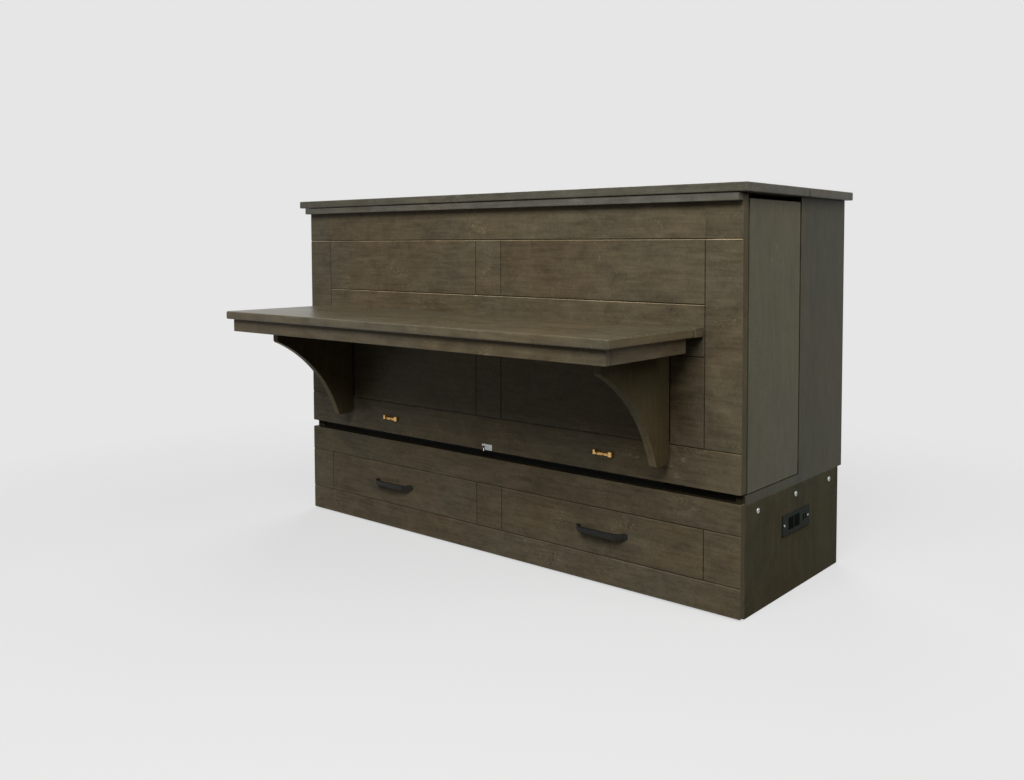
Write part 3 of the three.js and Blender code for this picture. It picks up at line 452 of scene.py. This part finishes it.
DOOR_WOOD = stained_wood("wood_door", X_AXIS, FRONT_TINT, DOOR_GROOVES, DOOR_KNOTS, DOOR_PANEL)
DRAWER_WOOD = stained_wood("wood_drawer", X_AXIS, FRONT_TINT, DRAWER_GROOVES, DRAWER_KNOTS, DRAWER_PANEL)
FRONT_END_WOOD = stained_wood("wood_front_end", Z_AXIS, FRONT_END_TINT, shine=0.04, figure=0.5)
TOP_WOOD = stained_wood("wood_top", X_AXIS, TOP_TINT, gloss=0.33, shine=0.12)
DESK_WOOD = stained_wood("wood_desk", X_AXIS, DESK_TINT, gloss=0.28, shine=0.18)
DESK_END_WOOD = stained_wood("wood_desk_end", Y_AXIS, DESK_END_TINT, shine=0.05, figure=0.7)
CROWN_WOOD = stained_wood("wood_crown", X_AXIS, CROWN_TINT)
LENGTH_WOOD = stained_wood("wood_lengthwise", X_AXIS, FRONT_TINT)
# Painted shade, near black, for what shows behind the drawer
SHADE_RAIL_WOOD = stained_wood("wood_rail_painted_shade", X_AXIS, SHADE_TINT, shine=0.03)
SIDE_WOOD = stained_wood("wood_side", Z_AXIS, SIDE_TINT, figure=0.45)
REAR_WOOD = stained_wood("wood_rear_side", Z_AXIS, REAR_TINT, shine=0.06, figure=0.45)
DEPTH_WOOD = stained_wood("wood_depthwise", Y_AXIS, FRONT_TINT)
CORBEL_WOOD = stained_wood("wood_corbel", Z_AXIS, CORBEL_TINT, shine=0.05, figure=0.6)
# Painted light on the corbels' front edges
CORBEL_EDGE_LIT_WOOD = stained_wood("wood_corbel_edge_painted_light", Z_AXIS, CORBEL_EDGE_LIT_TINT, shine=0.05, figure=0.6)
BASE_WOOD = stained_wood("wood_base_side", Z_AXIS, BASE_TINT, shine=0.0, figure=0.45)
# Painted shade for edges seen in the gap above the drawer
GAP_SHADE_WOOD = stained_wood("wood_in_gap_painted_shade", Z_AXIS, GAP_SHADE_TINT, shine=0.0, figure=0.45)
BIRCH = inner_board()
STEEL = metal("steel_brushed", (0.62, 0.62, 0.60), 0.32, 1.0, (0.05, 1.0, 1.0))
BRIGHT_STEEL = metal("steel_bright", (0.78, 0.78, 0.76), 0.20, 0.4)
DULL_STEEL = metal("steel_dull", (0.13, 0.13, 0.12), 0.48, 1.0, (0.05, 1.0, 1.0))
LATCH_STEEL = metal("steel_latch", (0.40, 0.42, 0.40), 0.40, 0.8, (0.3, 1.0, 1.0))
HEAD_STEEL = metal("steel_bolt_head", (0.46, 0.48, 0.46), 0.34, 0.4)
BRASS = metal("brass_polished", (0.66, 0.42, 0.15), 0.24, 0.5, (0.1, 1.0, 1.0))
BLACK_METAL = coated_black("black_powder_coat", (0.010, 0.010, 0.009), 0.45, 1500.0, 0.22)
HINGE_BLACK = coated_black("black_oxide", (0.007, 0.007, 0.006), 0.62, 1500.0, 0.08)
PLATE_PLASTIC = coated_black("black_moulded_plastic", (0.019, 0.023, 0.018), 0.50, 2200.0, 0.03)
SOCKET_PLASTIC = coated_black("black_socket_plastic", (0.013, 0.015, 0.014), 0.40, 2200.0, 0.0)
TICKING = knit_fabric("mattress_ticking", (0.80, 0.78, 0.73))


# ---------------------------------------------------------------- outlines
def arc(centre, radius, first, last, steps):
    """Points of an arc between two angles."""
    points = []
    for i in range(steps + 1):
        angle = first + (last - first) * i / steps
        points.append((centre[0] + radius * math.cos(angle), centre[1] + radius * math.sin(angle)))
    return points


def fillet(before, corner, after, radius, steps=6):
    """Points of an arc that rounds a corner of an outline."""
    corner = Vector(corner)
    to_before = (Vector(before) - corner).normalized()
    to_after = (Vector(after) - corner).normalized()
    half = to_before.angle(to_after) / 2
    reach = radius / math.tan(half)
    centre = corner + (to_before + to_after).normalized() * (radius / math.sin(half))
    first = corner + to_before * reach - centre
    last = corner + to_after * reach - centre
    start = math.atan2(first.y, first.x)
    return arc(centre, radius, start, start - first.angle_signed(last), steps)


def rectangle(low, high):
    return [(low[0], low[1]), (high[0], low[1]), (high[0], high[1]), (low[0], high[1])]


def in_mm(*points):
    """Points given in millimetres."""
    return [(first * MM, second * MM) for first, second in points]


def button_head(radius, height):
    """Profile of a domed screw head with a round-bottomed socket."""
    dome = []
    for i in range(6):
        angle = math.radians(8 + 60 * i / 5)
        dome.append((radius * math.cos(angle), height * (0.25 + 0.75 * math.sin(angle))))
    socket = radius * 0.42
    rim = dome[-1][1] - 0.05 * height
    floor = [(socket, rim), (socket * 0.9, height * 0.35), (socket * 0.2, height * 0.3)]
    return [(radius, 0.0), *dome, *floor]


# ---------------------------------------------------------------- solids
def ring(edit, points, axis, place):
    """Vertices of an outline, drawn in the plane across an axis at a place on it."""
    first, second = other_axes(axis)
    vertices = []
    for point in points:
        corner = [0.0, 0.0, 0.0]
        corner[axis] = place
        corner[first], corner[second] = point
        vertices.append(edit.verts.new(corner))
    return vertices


def wall(edit, low, high):
    """Faces between two rings."""
    for i in range(len(low)):
        j = (i + 1) % len(low)
        edit.faces.new((low[i], low[j], high[j], high[i]))


def extruded(points, start, end, axis):
    """A solid from a flat outline, between two places on an axis."""
    edit = bmesh.new()
    rings = []
    for place in (start, end):
        rings.append(ring(edit, points, axis, place))
        edit.faces.new(rings[-1])
    wall(edit, *rings)
    bmesh.ops.recalc_face_normals(edit, faces=edit.faces)
    return edit


def block(low, high):
    return extruded(rectangle(low, high), low[2], high[2], Z_AXIS)


def lathe(edit, profile, centre, axis, sides=28, sign=1):
    """Turns (radius, height) points about an axis through a centre, and closes both ends."""
    middle = [centre[other] for other in other_axes(axis)]
    rings = []
    for radius, height in profile:
        circle = arc(middle, radius, 0.0, 2 * math.pi, sides)[:-1]
        rings.append(ring(edit, circle, axis, centre[axis] + sign * height))
    for low, high in zip(rings, rings[1:]):
        wall(edit, low, high)
    edit.faces.new(rings[0])
    edit.faces.new(rings[-1])


def round_bar(radius, length, start, sides):
    """A solid round bar along x, to cut a hole with."""
    edit = bmesh.new()
    lathe(edit, [(radius, 0.0), (radius, length)], start, X_AXIS, sides)
    bmesh.ops.recalc_face_normals(edit, faces=edit.faces)
    return edit


def round_edges(edit, radius, segments=2, least=35):
    """Rounds the convex edges that turn by more than the least angle, in degrees."""
    sharp = [
        edge
        for edge in edit.edges
        if len(edge.link_faces) == 2 and edge.calc_face_angle_signed() > math.radians(least)
    ]
    bmesh.ops.bevel(
        edit,
        geom=sharp,
        offset=radius,
        offset_type="OFFSET",
        segments=segments,
        profile=0.5,
        affect="EDGES",
        clamp_overlap=True,
    )


def merged(target, source):
    """Adds the solids of one edit mesh to another."""
    mesh = bpy.data.meshes.new("passing")
    source.to_mesh(mesh)
    source.free()
    target.from_mesh(mesh)
    bpy.data.meshes.remove(mesh)


def carved(edit, cutters):
    """An edit mesh less the solids of others."""
    objects = []
    for index, part in enumerate([edit, *cutters]):
        mesh = bpy.data.meshes.new(f"carving_{index}")
        part.to_mesh(mesh)
        part.free()
        carving = bpy.data.objects.new(f"carving_{index}", mesh)
        bpy.context.scene.collection.objects.link(carving)
        objects.append(carving)
    for cutter in objects[1:]:
        cut = objects[0].modifiers.new("cut", "BOOLEAN")
        cut.operation = "DIFFERENCE"
        cut.solver = "EXACT"
        cut.object = cutter
    bpy.context.view_layer.update()
    graph = bpy.context.evaluated_depsgraph_get()
    result = bmesh.new()
    result.from_mesh(objects[0].evaluated_get(graph).to_mesh())
    for carving in objects:
        mesh = carving.data
        bpy.data.objects.remove(carving)
        bpy.data.meshes.remove(mesh)
    return result


# ---------------------------------------------------------------- pieces
def new_piece(name, mesh, material, body, slot):
    mesh.materials.append(material)
    piece = bpy.data.objects.new(name, mesh)
    bpy.context.scene.collection.objects.link(piece)
    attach(piece, body)
    return piece


def finished_mesh(edit, name, angle):
    """A smooth mesh that stays sharp where its faces turn by more than an angle, in degrees."""
    bmesh.ops.recalc_face_normals(edit, faces=edit.faces)
    mesh = bpy.data.meshes.new(name)
    edit.to_mesh(mesh)
    edit.free()
    for polygon in mesh.polygons:
        polygon.use_smooth = True
    mesh.set_sharp_from_angle(angle=math.radians(angle))
    return mesh


def detail(name, edit, material, body, slot, angle=32):
    """A piece whose faces are shaded flat between their rounded edges."""
    piece = new_piece(name, finished_mesh(edit, name + "_mesh", angle), material, body, slot)
    weigh = piece.modifiers.new("flat_faces", "WEIGHTED_NORMAL")
    weigh.keep_sharp = True
    return piece


def softened(node, material, slot, radius):
    """A piece with a CAD node's own shape, whose edges are rounded as sanding leaves them."""
    source = frame["nodes"][node]
    edit = bmesh.new()
    edit.from_mesh(source.data)
    bmesh.ops.remove_doubles(edit, verts=edit.verts, dist=0.01 * MM)
    bmesh.ops.dissolve_limit(edit, angle_limit=math.radians(1), verts=edit.verts, edges=edit.edges)
    round_edges(edit, radius)
    bmesh.ops.dissolve_degenerate(edit, dist=0.002 * MM, edges=edit.edges)
    piece = detail(f"{node}_finished", edit, material, source["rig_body"], slot)
    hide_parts(node)


def face_wood(nodes, material, directions, least=0.9):
    """Gives the faces of finished boards that look in these directions a wood of their own."""
    for node in nodes:
        mesh = bpy.data.objects[f"{node}_finished"].data
        mesh.materials.append(material)
        for polygon in mesh.polygons:
            if max(polygon.normal.dot(Vector(direction)) for direction in directions) > least:
                polygon.material_index = len(mesh.materials) - 1


def assign(material, *nodes):
    """Gives CAD nodes that are shown as they are a material."""
    for node in nodes:
        slots = frame["nodes"][node].data.materials
        slots.clear()
        slots.append(material)


def add_heads(name, places, radius, height, sign):
    """Domed bolt or screw heads, as one piece, at points on a surface that faces along x."""
    edit = bmesh.new()
    for place in places:
        lathe(edit, button_head(radius, height), place, X_AXIS, sign=sign)
    detail(name, edit, HEAD_STEEL, "cabinet", "steel", 40)


# ---------------------------------------------------------------- corbels
def corbel_outline(low, high):
    """Side view of a corbel in y and z: a short nose in front, a hollow edge, rounded lower corners."""
    nose, foot, hollow = 70 * MM, 55 * MM, 400 * MM
    start = Vector((low.y, high.z - nose))
    end = Vector((high.y - foot, low.z))
    chord = end - start
    outward = Vector((chord.y, -chord.x)).normalized()
    centre = (start + end) / 2 + outward * math.sqrt(hollow**2 - chord.length_squared / 4)
    first = math.atan2(start.y - centre.y, start.x - centre.x)
    last = math.atan2(end.y - centre.y, end.x - centre.x)
    edge = arc(centre, hollow, first, last, 48)
    top_front, top_back, low_back = (low.y, high.z), (high.y, high.z), (high.y, low.z)
    points = [top_back, top_front]
    points += fillet(top_front, edge[0], edge[2], 9 * MM)
    points += edge[2:-2]
    points += fillet(edge[-3], edge[-1], low_back, 6 * MM)
    points += fillet(edge[-1], low_back, top_back, 12 * MM)
    return points


def add_corbel(side):
    node = f"corbel_{side}"
    low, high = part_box(node)
    edit = extruded(corbel_outline(low, high), low.x, high.x, X_AXIS)
    round_edges(edit, 1.2 * MM, 3)
    corbel = detail(f"{node}_finished", edit, CORBEL_WOOD, f"corbel_arm_{side}", "stained_wood")
    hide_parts(node)


# ---------------------------------------------------------------- drawer handles
def bowed(end, out, bow, steps=12):
    """Points of a bar's edge as (x, distance out), from its middle, where it bows out, to one end."""
    points = []
    for i in range(steps + 1):
        share = i / steps
        points.append((end * share, out + bow * (1 - share**2)))
    return points


def add_handle(side):
    """A bar pull with square feet, arms that lean inward, cut front corners and a slight bow."""
    node = f"drawer_handle_{side}"
    low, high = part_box(node)
    middle = (low.x + high.x) / 2
    outer = (high.x - low.x) / 2
    reach = high.y - low.y
    bar, bow, lean, corner, arm = 8 * MM, 2 * MM, 17 * MM, 5 * MM, 8 * MM
    pad, pad_rise, neck = 13 * MM, 3 * MM, 3 * MM
    front = reach - bow
    bar_end = outer - lean
    inner = outer - pad
    foot = [(outer, 0.0), (outer, pad_rise), (outer - neck, pad_rise + neck), (bar_end, front - corner)]
    right_front = foot + bowed(bar_end - corner, front, bow)[::-1]
    right_rear = bowed(bar_end - arm, front - bar, bow)
    right_rear += [(inner + MM, pad_rise + 2 * MM), (inner, pad_rise), (inner, 0.0)]
    left_front = [(-x, out) for x, out in reversed(right_front[:-1])]
    left_rear = [(-x, out) for x, out in reversed(right_rear[1:])]
    # The outline runs round the bar: right foot, front, left foot, and back along the rear
    outline = right_front + left_front + left_rear + right_rear
    points = [(middle + x, high.y - out) for x, out in outline]
    edit = extruded(points, low.z, high.z, Z_AXIS)
    round_edges(edit, 0.7 * MM, 2, 25)
    handle = detail(f"{node}_finished", edit, BLACK_METAL, "drawer", "black_metal")
    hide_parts(node)


# ---------------------------------------------------------------- outlet
def add_outlet():
    """Cover plate on the right side, with two power sockets, two charging ports and two screws."""
    low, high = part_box("outlet_plate")
    face = high.x
    length = high.y - low.y
    middle = (low.z + high.z) / 2
    socket_places = (low.y + 0.30 * length, low.y + 0.52 * length)
    port_places = (low.y + 0.77 * length, low.y + 0.85 * length)
    socket_width, socket_height, seam = 29 * MM, 31 * MM, 0.4 * MM
    port_width, port_height, port_depth = 7 * MM, 15 * MM, 2.6 * MM
    slot_width, slot_rise, slot_depth = 2 * MM, 2.5 * MM, 1.2 * MM
    earth_radius, earth_drop = 2.4 * MM, 8 * MM

    def box_at(y, z, width, height, depth, out=MM):
        """A block about a place on the plate, from a depth under its face to a distance out of it."""
        corner = (face - depth, y - width / 2, z - height / 2)
        return block(corner, (face + out, y + width / 2, z + height / 2))

    hole_width, hole_height, hole_depth = socket_width + 2 * seam, socket_height + 2 * seam, 1.6 * MM
    cutters = [box_at(y, middle, hole_width, hole_height, hole_depth) for y in socket_places]
    cutters += [box_at(y, middle, port_width, port_height, port_depth) for y in port_places]
    plate = carved(block(low, high), cutters)
    round_edges(plate, 0.9 * MM, 3, 60)
    piece = detail("outlet_plate_finished", plate, PLATE_PLASTIC, "cabinet", "black_plastic")
    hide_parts("outlet_plate")

    sockets = bmesh.new()
    for y in socket_places:
        slots = []
        for offset, slot_height in ((-6.3 * MM, 8 * MM), (6.3 * MM, 6.5 * MM)):
            slots.append(box_at(y + offset, middle + slot_rise, slot_width, slot_height, slot_depth))
        earth_place = (face - slot_depth, y, middle - earth_drop)
        slots.append(round_bar(earth_radius, 3 * MM, earth_place, 16))
        body = carved(box_at(y, middle, socket_width, socket_height, 1.5 * MM, -0.5 * MM), slots)
        round_edges(body, 0.3 * MM, 2, 60)
        merged(sockets, body)
    detail("outlet_sockets", sockets, SOCKET_PLASTIC, "cabinet", "black_plastic")

    tongues = bmesh.new()
    for y in port_places:
        tongue = box_at(y, middle, 1.6 * MM, 11 * MM, port_depth, -0.7 * MM)
        round_edges(tongue, 0.2 * MM, 1, 60)
        merged(tongues, tongue)
    detail("outlet_port_tongues", tongues, SOCKET_PLASTIC, "cabinet", "black_plastic")

    screw_inset = 9 * MM
    screws = [(face, low.y + screw_inset, middle), (face, high.y - screw_inset, middle)]
    add_heads("outlet_screws", screws, 3.2 * MM, 1.4 * MM, 1)


# ---------------------------------------------------------------- brass bolts and latch
def strap(rear, height, out, half, radius, thick, start, end):
    """A strap over a bolt, from start to end along x: two flat feet and a round-shouldered bridge."""
    outer = radius + thick
    bridge = arc((rear - (out - outer), height), outer, -math.pi / 2, -3 * math.pi / 2, 10)
    lower = [(rear, height - half), (rear - thick, height - half), (rear - thick, height - outer)]
    upper = [(rear - thick, height + outer), (rear - thick, height + half), (rear, height + half)]
    return extruded(lower + bridge + upper, start, end, X_AXIS)


def add_brass_bolt(side):
    """A rod that slides from a block, under a strap, into a keeper with a closed end."""
    plate_low, plate_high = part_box(f"door_bolt_plate_{side}")
    rod_low, rod_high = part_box(f"door_bolt_rod_{side}")
    start = plate_low.x
    rear = plate_high.y
    height = (plate_low.z + plate_high.z) / 2
    out, rod_radius, bore_radius = 10.8 * MM, 3 * MM, 3.4 * MM
    rod_y = rod_high.y - rod_radius
    edit = block((start + MM, rear - 1.2 * MM, height - 6.5 * MM), (start + 59 * MM, rear, height + 2.4 * MM))
    # Blocks with a hole for the rod, as first, last, below, above, and where the hole starts and ends
    guide = (0.0, 7 * MM, 4.8 * MM, 7.8 * MM, -MM, 8 * MM)
    keeper = (49 * MM, 60 * MM, 6.4 * MM, 7 * MM, 48 * MM, 58.7 * MM)
    for first, last, below, above, bore_from, bore_to in (guide, keeper):
        solid = block((start + first, rear - out, height - below), (start + last, rear, height + above))
        bore = round_bar(bore_radius, bore_to - bore_from, (start + bore_from, rod_y, height), 24)
        bored = carved(solid, [bore])
        round_edges(bored, 0.9 * MM, 3, 60)
        merged(edit, bored)
    bridge = strap(rear, height, out, 5.5 * MM, 3.6 * MM, 1.4 * MM, start + 28 * MM, start + 31.5 * MM)
    round_edges(bridge, 0.4 * MM, 2, 40)
    merged(edit, bridge)
    holder = detail(f"door_bolt_plate_{side}_finished", edit, BRASS, "bed_tray", "brass", 40)
    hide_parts(f"door_bolt_plate_{side}")

    rod = bmesh.new()
    length = rod_high.x - rod_low.x
    tip, tip_radius, knob_place = 0.8 * MM, 2.2 * MM, 12.5 * MM
    shaft = [(tip_radius, 0.0), (rod_radius, tip), (rod_radius, length - tip), (tip_radius, length)]
    lathe(rod, shaft, (rod_low.x, rod_y, height), X_AXIS, 24)
    knob = in_mm((1.4, 0.0), (1.4, 6.0), (2.2, 7.0), (2.6, 8.6), (2.2, 10.0), (1.0, 10.4))
    lathe(rod, knob, (rod_low.x + knob_place, rod_y, height), Y_AXIS, 20, -1)
    piece = detail(f"door_bolt_rod_{side}_finished", rod, BRASS, f"bolt_{side}", "brass", 40)
    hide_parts(f"door_bolt_rod_{side}")


def add_latch_hub():
    """A dark flat rivet that the latch's lever turns on. It has to pass over the drawer with the bed."""
    plate_low, plate_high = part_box("latch_plate")
    lever_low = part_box("latch_lever")[0]
    hub = (plate_low.x - 4.6 * MM, lever_low.y + 0.4 * MM, (plate_low.z + plate_high.z) / 2)
    edit = bmesh.new()
    lathe(edit, in_mm((3.6, 0.0), (3.6, 0.44), (3.4, 0.5), (0.6, 0.52)), hub, Y_AXIS, 24, -1)
    detail("latch_hub", edit, HINGE_BLACK, frame["nodes"]["latch_lever"]["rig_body"], "black_metal", 40)


# ---------------------------------------------------------------- mattress
def mattress_section(node):
    """A quilted foam section: crowned faces, sides drawn in, and rounded edges."""
    low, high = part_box(node)
    clear = 1.5 * MM
    crown, quilt_depth, draw_in = 7 * MM, 4 * MM, 5 * MM
    diamond, puff, edge_radius = 160 * MM, 0.35, 24 * MM
    swell = crown + quilt_depth
    centre = (low + high) / 2
    half = (high - low) / 2 - Vector((clear, clear, clear))
    counts = (120, 14, 54)
    edit = bmesh.new()
    known = {}

    def place_of(share):
        """Where a point of a plain box, given as shares of its half size, lies on the section."""
        flat = Vector([s * h for s, h in zip(share, half)])
        inner = Vector([max(-h + edge_radius, min(h - edge_radius, c)) for c, h in zip(flat, half)])
        offset = flat - inner
        if offset.length > 1e-6:
            flat = inner + offset.normalized() * edge_radius
        along, thick, over = share
        off_ends, off_sides = 1 - along**4, 1 - over**4
        across = off_ends * off_sides
        if abs(thick) == 1:
            first = math.sin(math.pi * (flat.x + flat.z) / diamond)
            second = math.sin(math.pi * (flat.x - flat.z) / diamond)
            quilt = abs(first * second) ** puff
            flat.y -= thick * (swell - (crown * across + quilt_depth * quilt * min(1, 3 * across)))
        else:
            drawn = draw_in * (1 - thick**2)
            flat.y *= 1 - swell * (1 - across) / half.y
            flat.x -= drawn * along * (abs(along) == 1) * off_sides
            flat.z -= drawn * over * (abs(over) == 1) * off_ends
        return centre + flat

    def vertex(key):
        if key not in known:
            share = [2 * index / count - 1 for index, count in zip(key, counts)]
            known[key] = edit.verts.new(place_of(share))
        return known[key]

    for fixed in AXES:
        first, second = other_axes(fixed)
        for end in (0, counts[fixed]):
            for a in range(counts[first]):
                for b in range(counts[second]):
                    corners = []
                    for da, db in ((0, 0), (1, 0), (1, 1), (0, 1)):
                        key = [end, end, end]
                        key[first], key[second] = a + da, b + db
                        corners.append(vertex(tuple(key)))
                    edit.faces.new(corners)
    mesh = finished_mesh(edit, node + "_mesh", 80)
    piece = new_piece(node + "_quilted", mesh, TICKING, frame["nodes"][node]["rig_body"], "mattress_fabric")
    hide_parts(node)


# ---------------------------------------------------------------- the bed
BOARDS = {
    "front_door": (DOOR_WOOD, 0.7 * MM),
    "drawer_front": (DRAWER_WOOD, 0.7 * MM),
    "crown_moulding": (CROWN_WOOD, 0.8 * MM),
    "lid_flap": (TOP_WOOD, 1.9 * MM),
    "fixed_top": (TOP_WOOD, 1.9 * MM),
    "desk_rail": (DESK_WOOD, 1.2 * MM),
    "desk_leaf": (DESK_WOOD, 1.4 * MM),
    "desk_apron_front": (LENGTH_WOOD, 0.5 * MM),
    "desk_apron_left": (DEPTH_WOOD, 0.5 * MM),
    "desk_apron_right": (DEPTH_WOOD, 0.5 * MM),
    "wing_left": (SIDE_WOOD, 0.7 * MM),
    "wing_right": (SIDE_WOOD, 0.7 * MM),
    "upper_side_left": (REAR_WOOD, 0.8 * MM),
    "upper_side_right": (REAR_WOOD, 0.8 * MM),
    "upper_back": (REAR_WOOD, 0.8 * MM),
    "base_side_left": (BASE_WOOD, 0.7 * MM),
    "base_side_right": (BASE_WOOD, 0.7 * MM),
    "base_back": (REAR_WOOD, 0.8 * MM),
    # The rail shows only behind the drawer and through its gap: painted shade
    "base_front_rail": (SHADE_RAIL_WOOD, 0.8 * MM),
}
INNER_BOARDS = (
    "foot_platform",
    "platform",
    "platform_cleat_left",
    "platform_cleat_right",
    "drawer_side_left",
    "drawer_side_right",
    "drawer_back",
    "drawer_bottom",
)
ENDS = ((1, 0, 0), (-1, 0, 0))
FRONT = ((0, -1, 0),)

for board_node, (board_wood, board_radius) in BOARDS.items():
    softened(board_node, board_wood, "stained_wood", board_radius)
face_wood(("front_door", "drawer_front"), FRONT_END_WOOD, ENDS)
face_wood(("desk_leaf", "desk_rail"), DESK_END_WOOD, ENDS)
# The upper sides' front edges show in the gap above the drawer: painted shade
face_wood(("upper_side_left", "upper_side_right"), GAP_SHADE_WOOD, FRONT)
for inner_node in INNER_BOARDS:
    softened(inner_node, BIRCH, "inner_board", 0.8 * MM)
# The platform's front edge shows in the gap above the drawer: painted shade, near black
face_wood(("platform",), SHADE_RAIL_WOOD, FRONT)

assign(
    STEEL,
    "slide_outer_left",
    "slide_outer_right",
    "slide_inner_left",
    "slide_inner_right",
    "desk_hinge_rail_leaf",
    "desk_hinge_desk_leaf",
    "foot_hinge_door_leaf",
    "foot_hinge_foot_leaf",
)
assign(BLACK_METAL, "foot_leg_frame")
assign(DULL_STEEL, "lid_hinge_fixed_leaf", "lid_hinge_moving_leaf")
assign(
    HINGE_BLACK,
    "bed_hinge_base_leaf",
    "bed_hinge_door_leaf",
    "corbel_hinge_door_leaf_left",
    "corbel_hinge_door_leaf_right",
    "corbel_hinge_corbel_leaf_left",
    "corbel_hinge_corbel_leaf_right",
)
assign(PLATE_PLASTIC, "outlet_box")

for side_name in ("left", "right"):
    add_corbel(side_name)
    add_handle(side_name)
    add_brass_bolt(side_name)
# The corbels' front-facing edges get painted light: a much brighter copy of their stain
face_wood(("corbel_left", "corbel_right"), CORBEL_EDGE_LIT_WOOD, FRONT, 0.3)
add_outlet()
softened("latch_plate", LATCH_STEEL, "steel", 0.25 * MM)
softened("latch_lever", BRIGHT_STEEL, "steel", 0.15 * MM)
add_latch_hub()
for mattress_node in ("mattress_front", "mattress_middle", "mattress_rear"):
    mattress_section(mattress_node)

BOLT_HEIGHT = 249 * MM
BOLT_DEPTHS = (-11.5 * MM, 192.5 * MM, 395.5 * MM)
for side_name, side_sign in (("left", -1), ("right", 1)):
    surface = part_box("base_side_right")[1].x * side_sign
    heads = [(surface, depth, BOLT_HEIGHT) for depth in BOLT_DEPTHS]
    add_heads(f"side_bolts_{side_name}", heads, 7 * MM, 3.6 * MM, side_sign)


# ---------------------------------------------------------------- light, floor and camera
BACKDROP_LEVEL, ROOM_LEVEL, BOUNCE_LEVEL = 0.791, 0.12, 0.05
FLOOR_HALF, FADE_START, FADE_END = 4.0, 1.3, 2.5
# Shares of the backdrop's level in the floor's own glow and, in what is left, in its diffuse colour
GLOW_SHARE, LIT_BOOST = 0.72, 1.15

# Rectangular lamps as name: (place, aim, size, power in watts)
LAMPS = {
    "key_front": ((1.3, -2.9, 3.1), (0.2, 0.0, 0.4), (3.0, 1.8), 138.0),
    "fill_right": ((3.4, 0.2, 2.9), (0.6, 0.0, 0.6), (2.0, 2.4), 38.0),
    "fill_rear": ((-2.0, 3.2, 2.6), (-0.2, 0.2, 0.5), (2.6, 1.8), 75.0),
}

CAMERA_PLACE = (1.9014, -2.0768, 0.8856)
CAMERA_TURN, CAMERA_DIP = 0.6664, 0.0525
CAMERA_LENS, SENSOR_WIDTH = 33.976, 36.0
CAMERA_SHIFT = (-0.0692, -0.0911)


def grey(level):
    return shade((level, level, level))


def add_world():
    """The backdrop for the rays that show it, and a dim even light for the others."""
    world = bpy.data.worlds.new("world")
    bpy.context.scene.world = world
    world.use_nodes = True
    s = Nodes(world.node_tree)
    room = s.add("ShaderNodeBackground", {"Color": grey(1.0), "Strength": ROOM_LEVEL}).outputs[0]
    backdrop = s.add("ShaderNodeBackground", {"Color": grey(BACKDROP_LEVEL)}).outputs[0]
    either = s.add("ShaderNodeMixShader", {0: s.seen_rays(), 1: room, 2: backdrop}).outputs[0]
    s.add("ShaderNodeOutputWorld", {"Surface": either})


def floor_material():
    """A pale floor that fades into the backdrop and throws little light back."""
    s = Shading("floor_pale")
    lit_level = BACKDROP_LEVEL * (1 - GLOW_SHARE) * LIT_BOOST
    glow = s.add("ShaderNodeEmission", {"Color": grey(BACKDROP_LEVEL * GLOW_SHARE)}).outputs[0]
    lit = s.add("ShaderNodeBsdfDiffuse", {"Color": grey(lit_level)}).outputs[0]
    shown = s.add("ShaderNodeAddShader", {0: glow, 1: lit}).outputs[0]
    away = s.add("ShaderNodeVectorMath", {0: s.place()}, operation="LENGTH").outputs["Value"]
    fade = s.remap(away, FADE_START, FADE_END)
    clear = s.add("ShaderNodeBsdfTransparent").outputs[0]
    faded = s.add("ShaderNodeMixShader", {0: fade, 1: shown, 2: clear}).outputs[0]
    bounce = s.add("ShaderNodeBsdfDiffuse", {"Color": grey(BOUNCE_LEVEL)}).outputs[0]
    both = s.add("ShaderNodeMixShader", {0: s.seen_rays(), 1: bounce, 2: faded}).outputs[0]
    s.add("ShaderNodeOutputMaterial", {"Surface": both})
    return s.material


def add_floor():
    edit = bmesh.new()
    outline = rectangle((-FLOOR_HALF, -FLOOR_HALF), (FLOOR_HALF, FLOOR_HALF))
    edit.faces.new(ring(edit, outline, Z_AXIS, 0.0))
    mesh = bpy.data.meshes.new("floor")
    edit.to_mesh(mesh)
    edit.free()
    mesh.materials.append(floor_material())
    floor = bpy.data.objects.new("floor", mesh)
    bpy.context.scene.collection.objects.link(floor)


def add_lamp(name, place, aim, size, power):
    data = bpy.data.lights.new(name, "AREA")
    data.shape = "RECTANGLE"
    data.size, data.size_y = size
    data.energy = power
    lamp = bpy.data.objects.new(name, data)
    lamp.location = place
    lamp.rotation_euler = (Vector(aim) - Vector(place)).to_track_quat("-Z", "Y").to_euler()
    bpy.context.scene.collection.objects.link(lamp)


def add_camera():
    data = bpy.data.cameras.new("camera")
    data.sensor_width = SENSOR_WIDTH
    data.lens = CAMERA_LENS
    data.shift_x, data.shift_y = CAMERA_SHIFT
    data.clip_end = 100.0
    camera = bpy.data.objects.new("camera", data)
    camera.location = CAMERA_PLACE
    camera.rotation_euler = (math.pi / 2 - CAMERA_DIP, 0.0, CAMERA_TURN)
    bpy.context.scene.collection.objects.link(camera)
    bpy.context.scene.camera = camera


add_world()
add_floor()
for lamp_name, lamp_facts in LAMPS.items():
    add_lamp(lamp_name, *lamp_facts)
add_camera()

bpy.context.scene.view_settings.view_transform = "Standard"
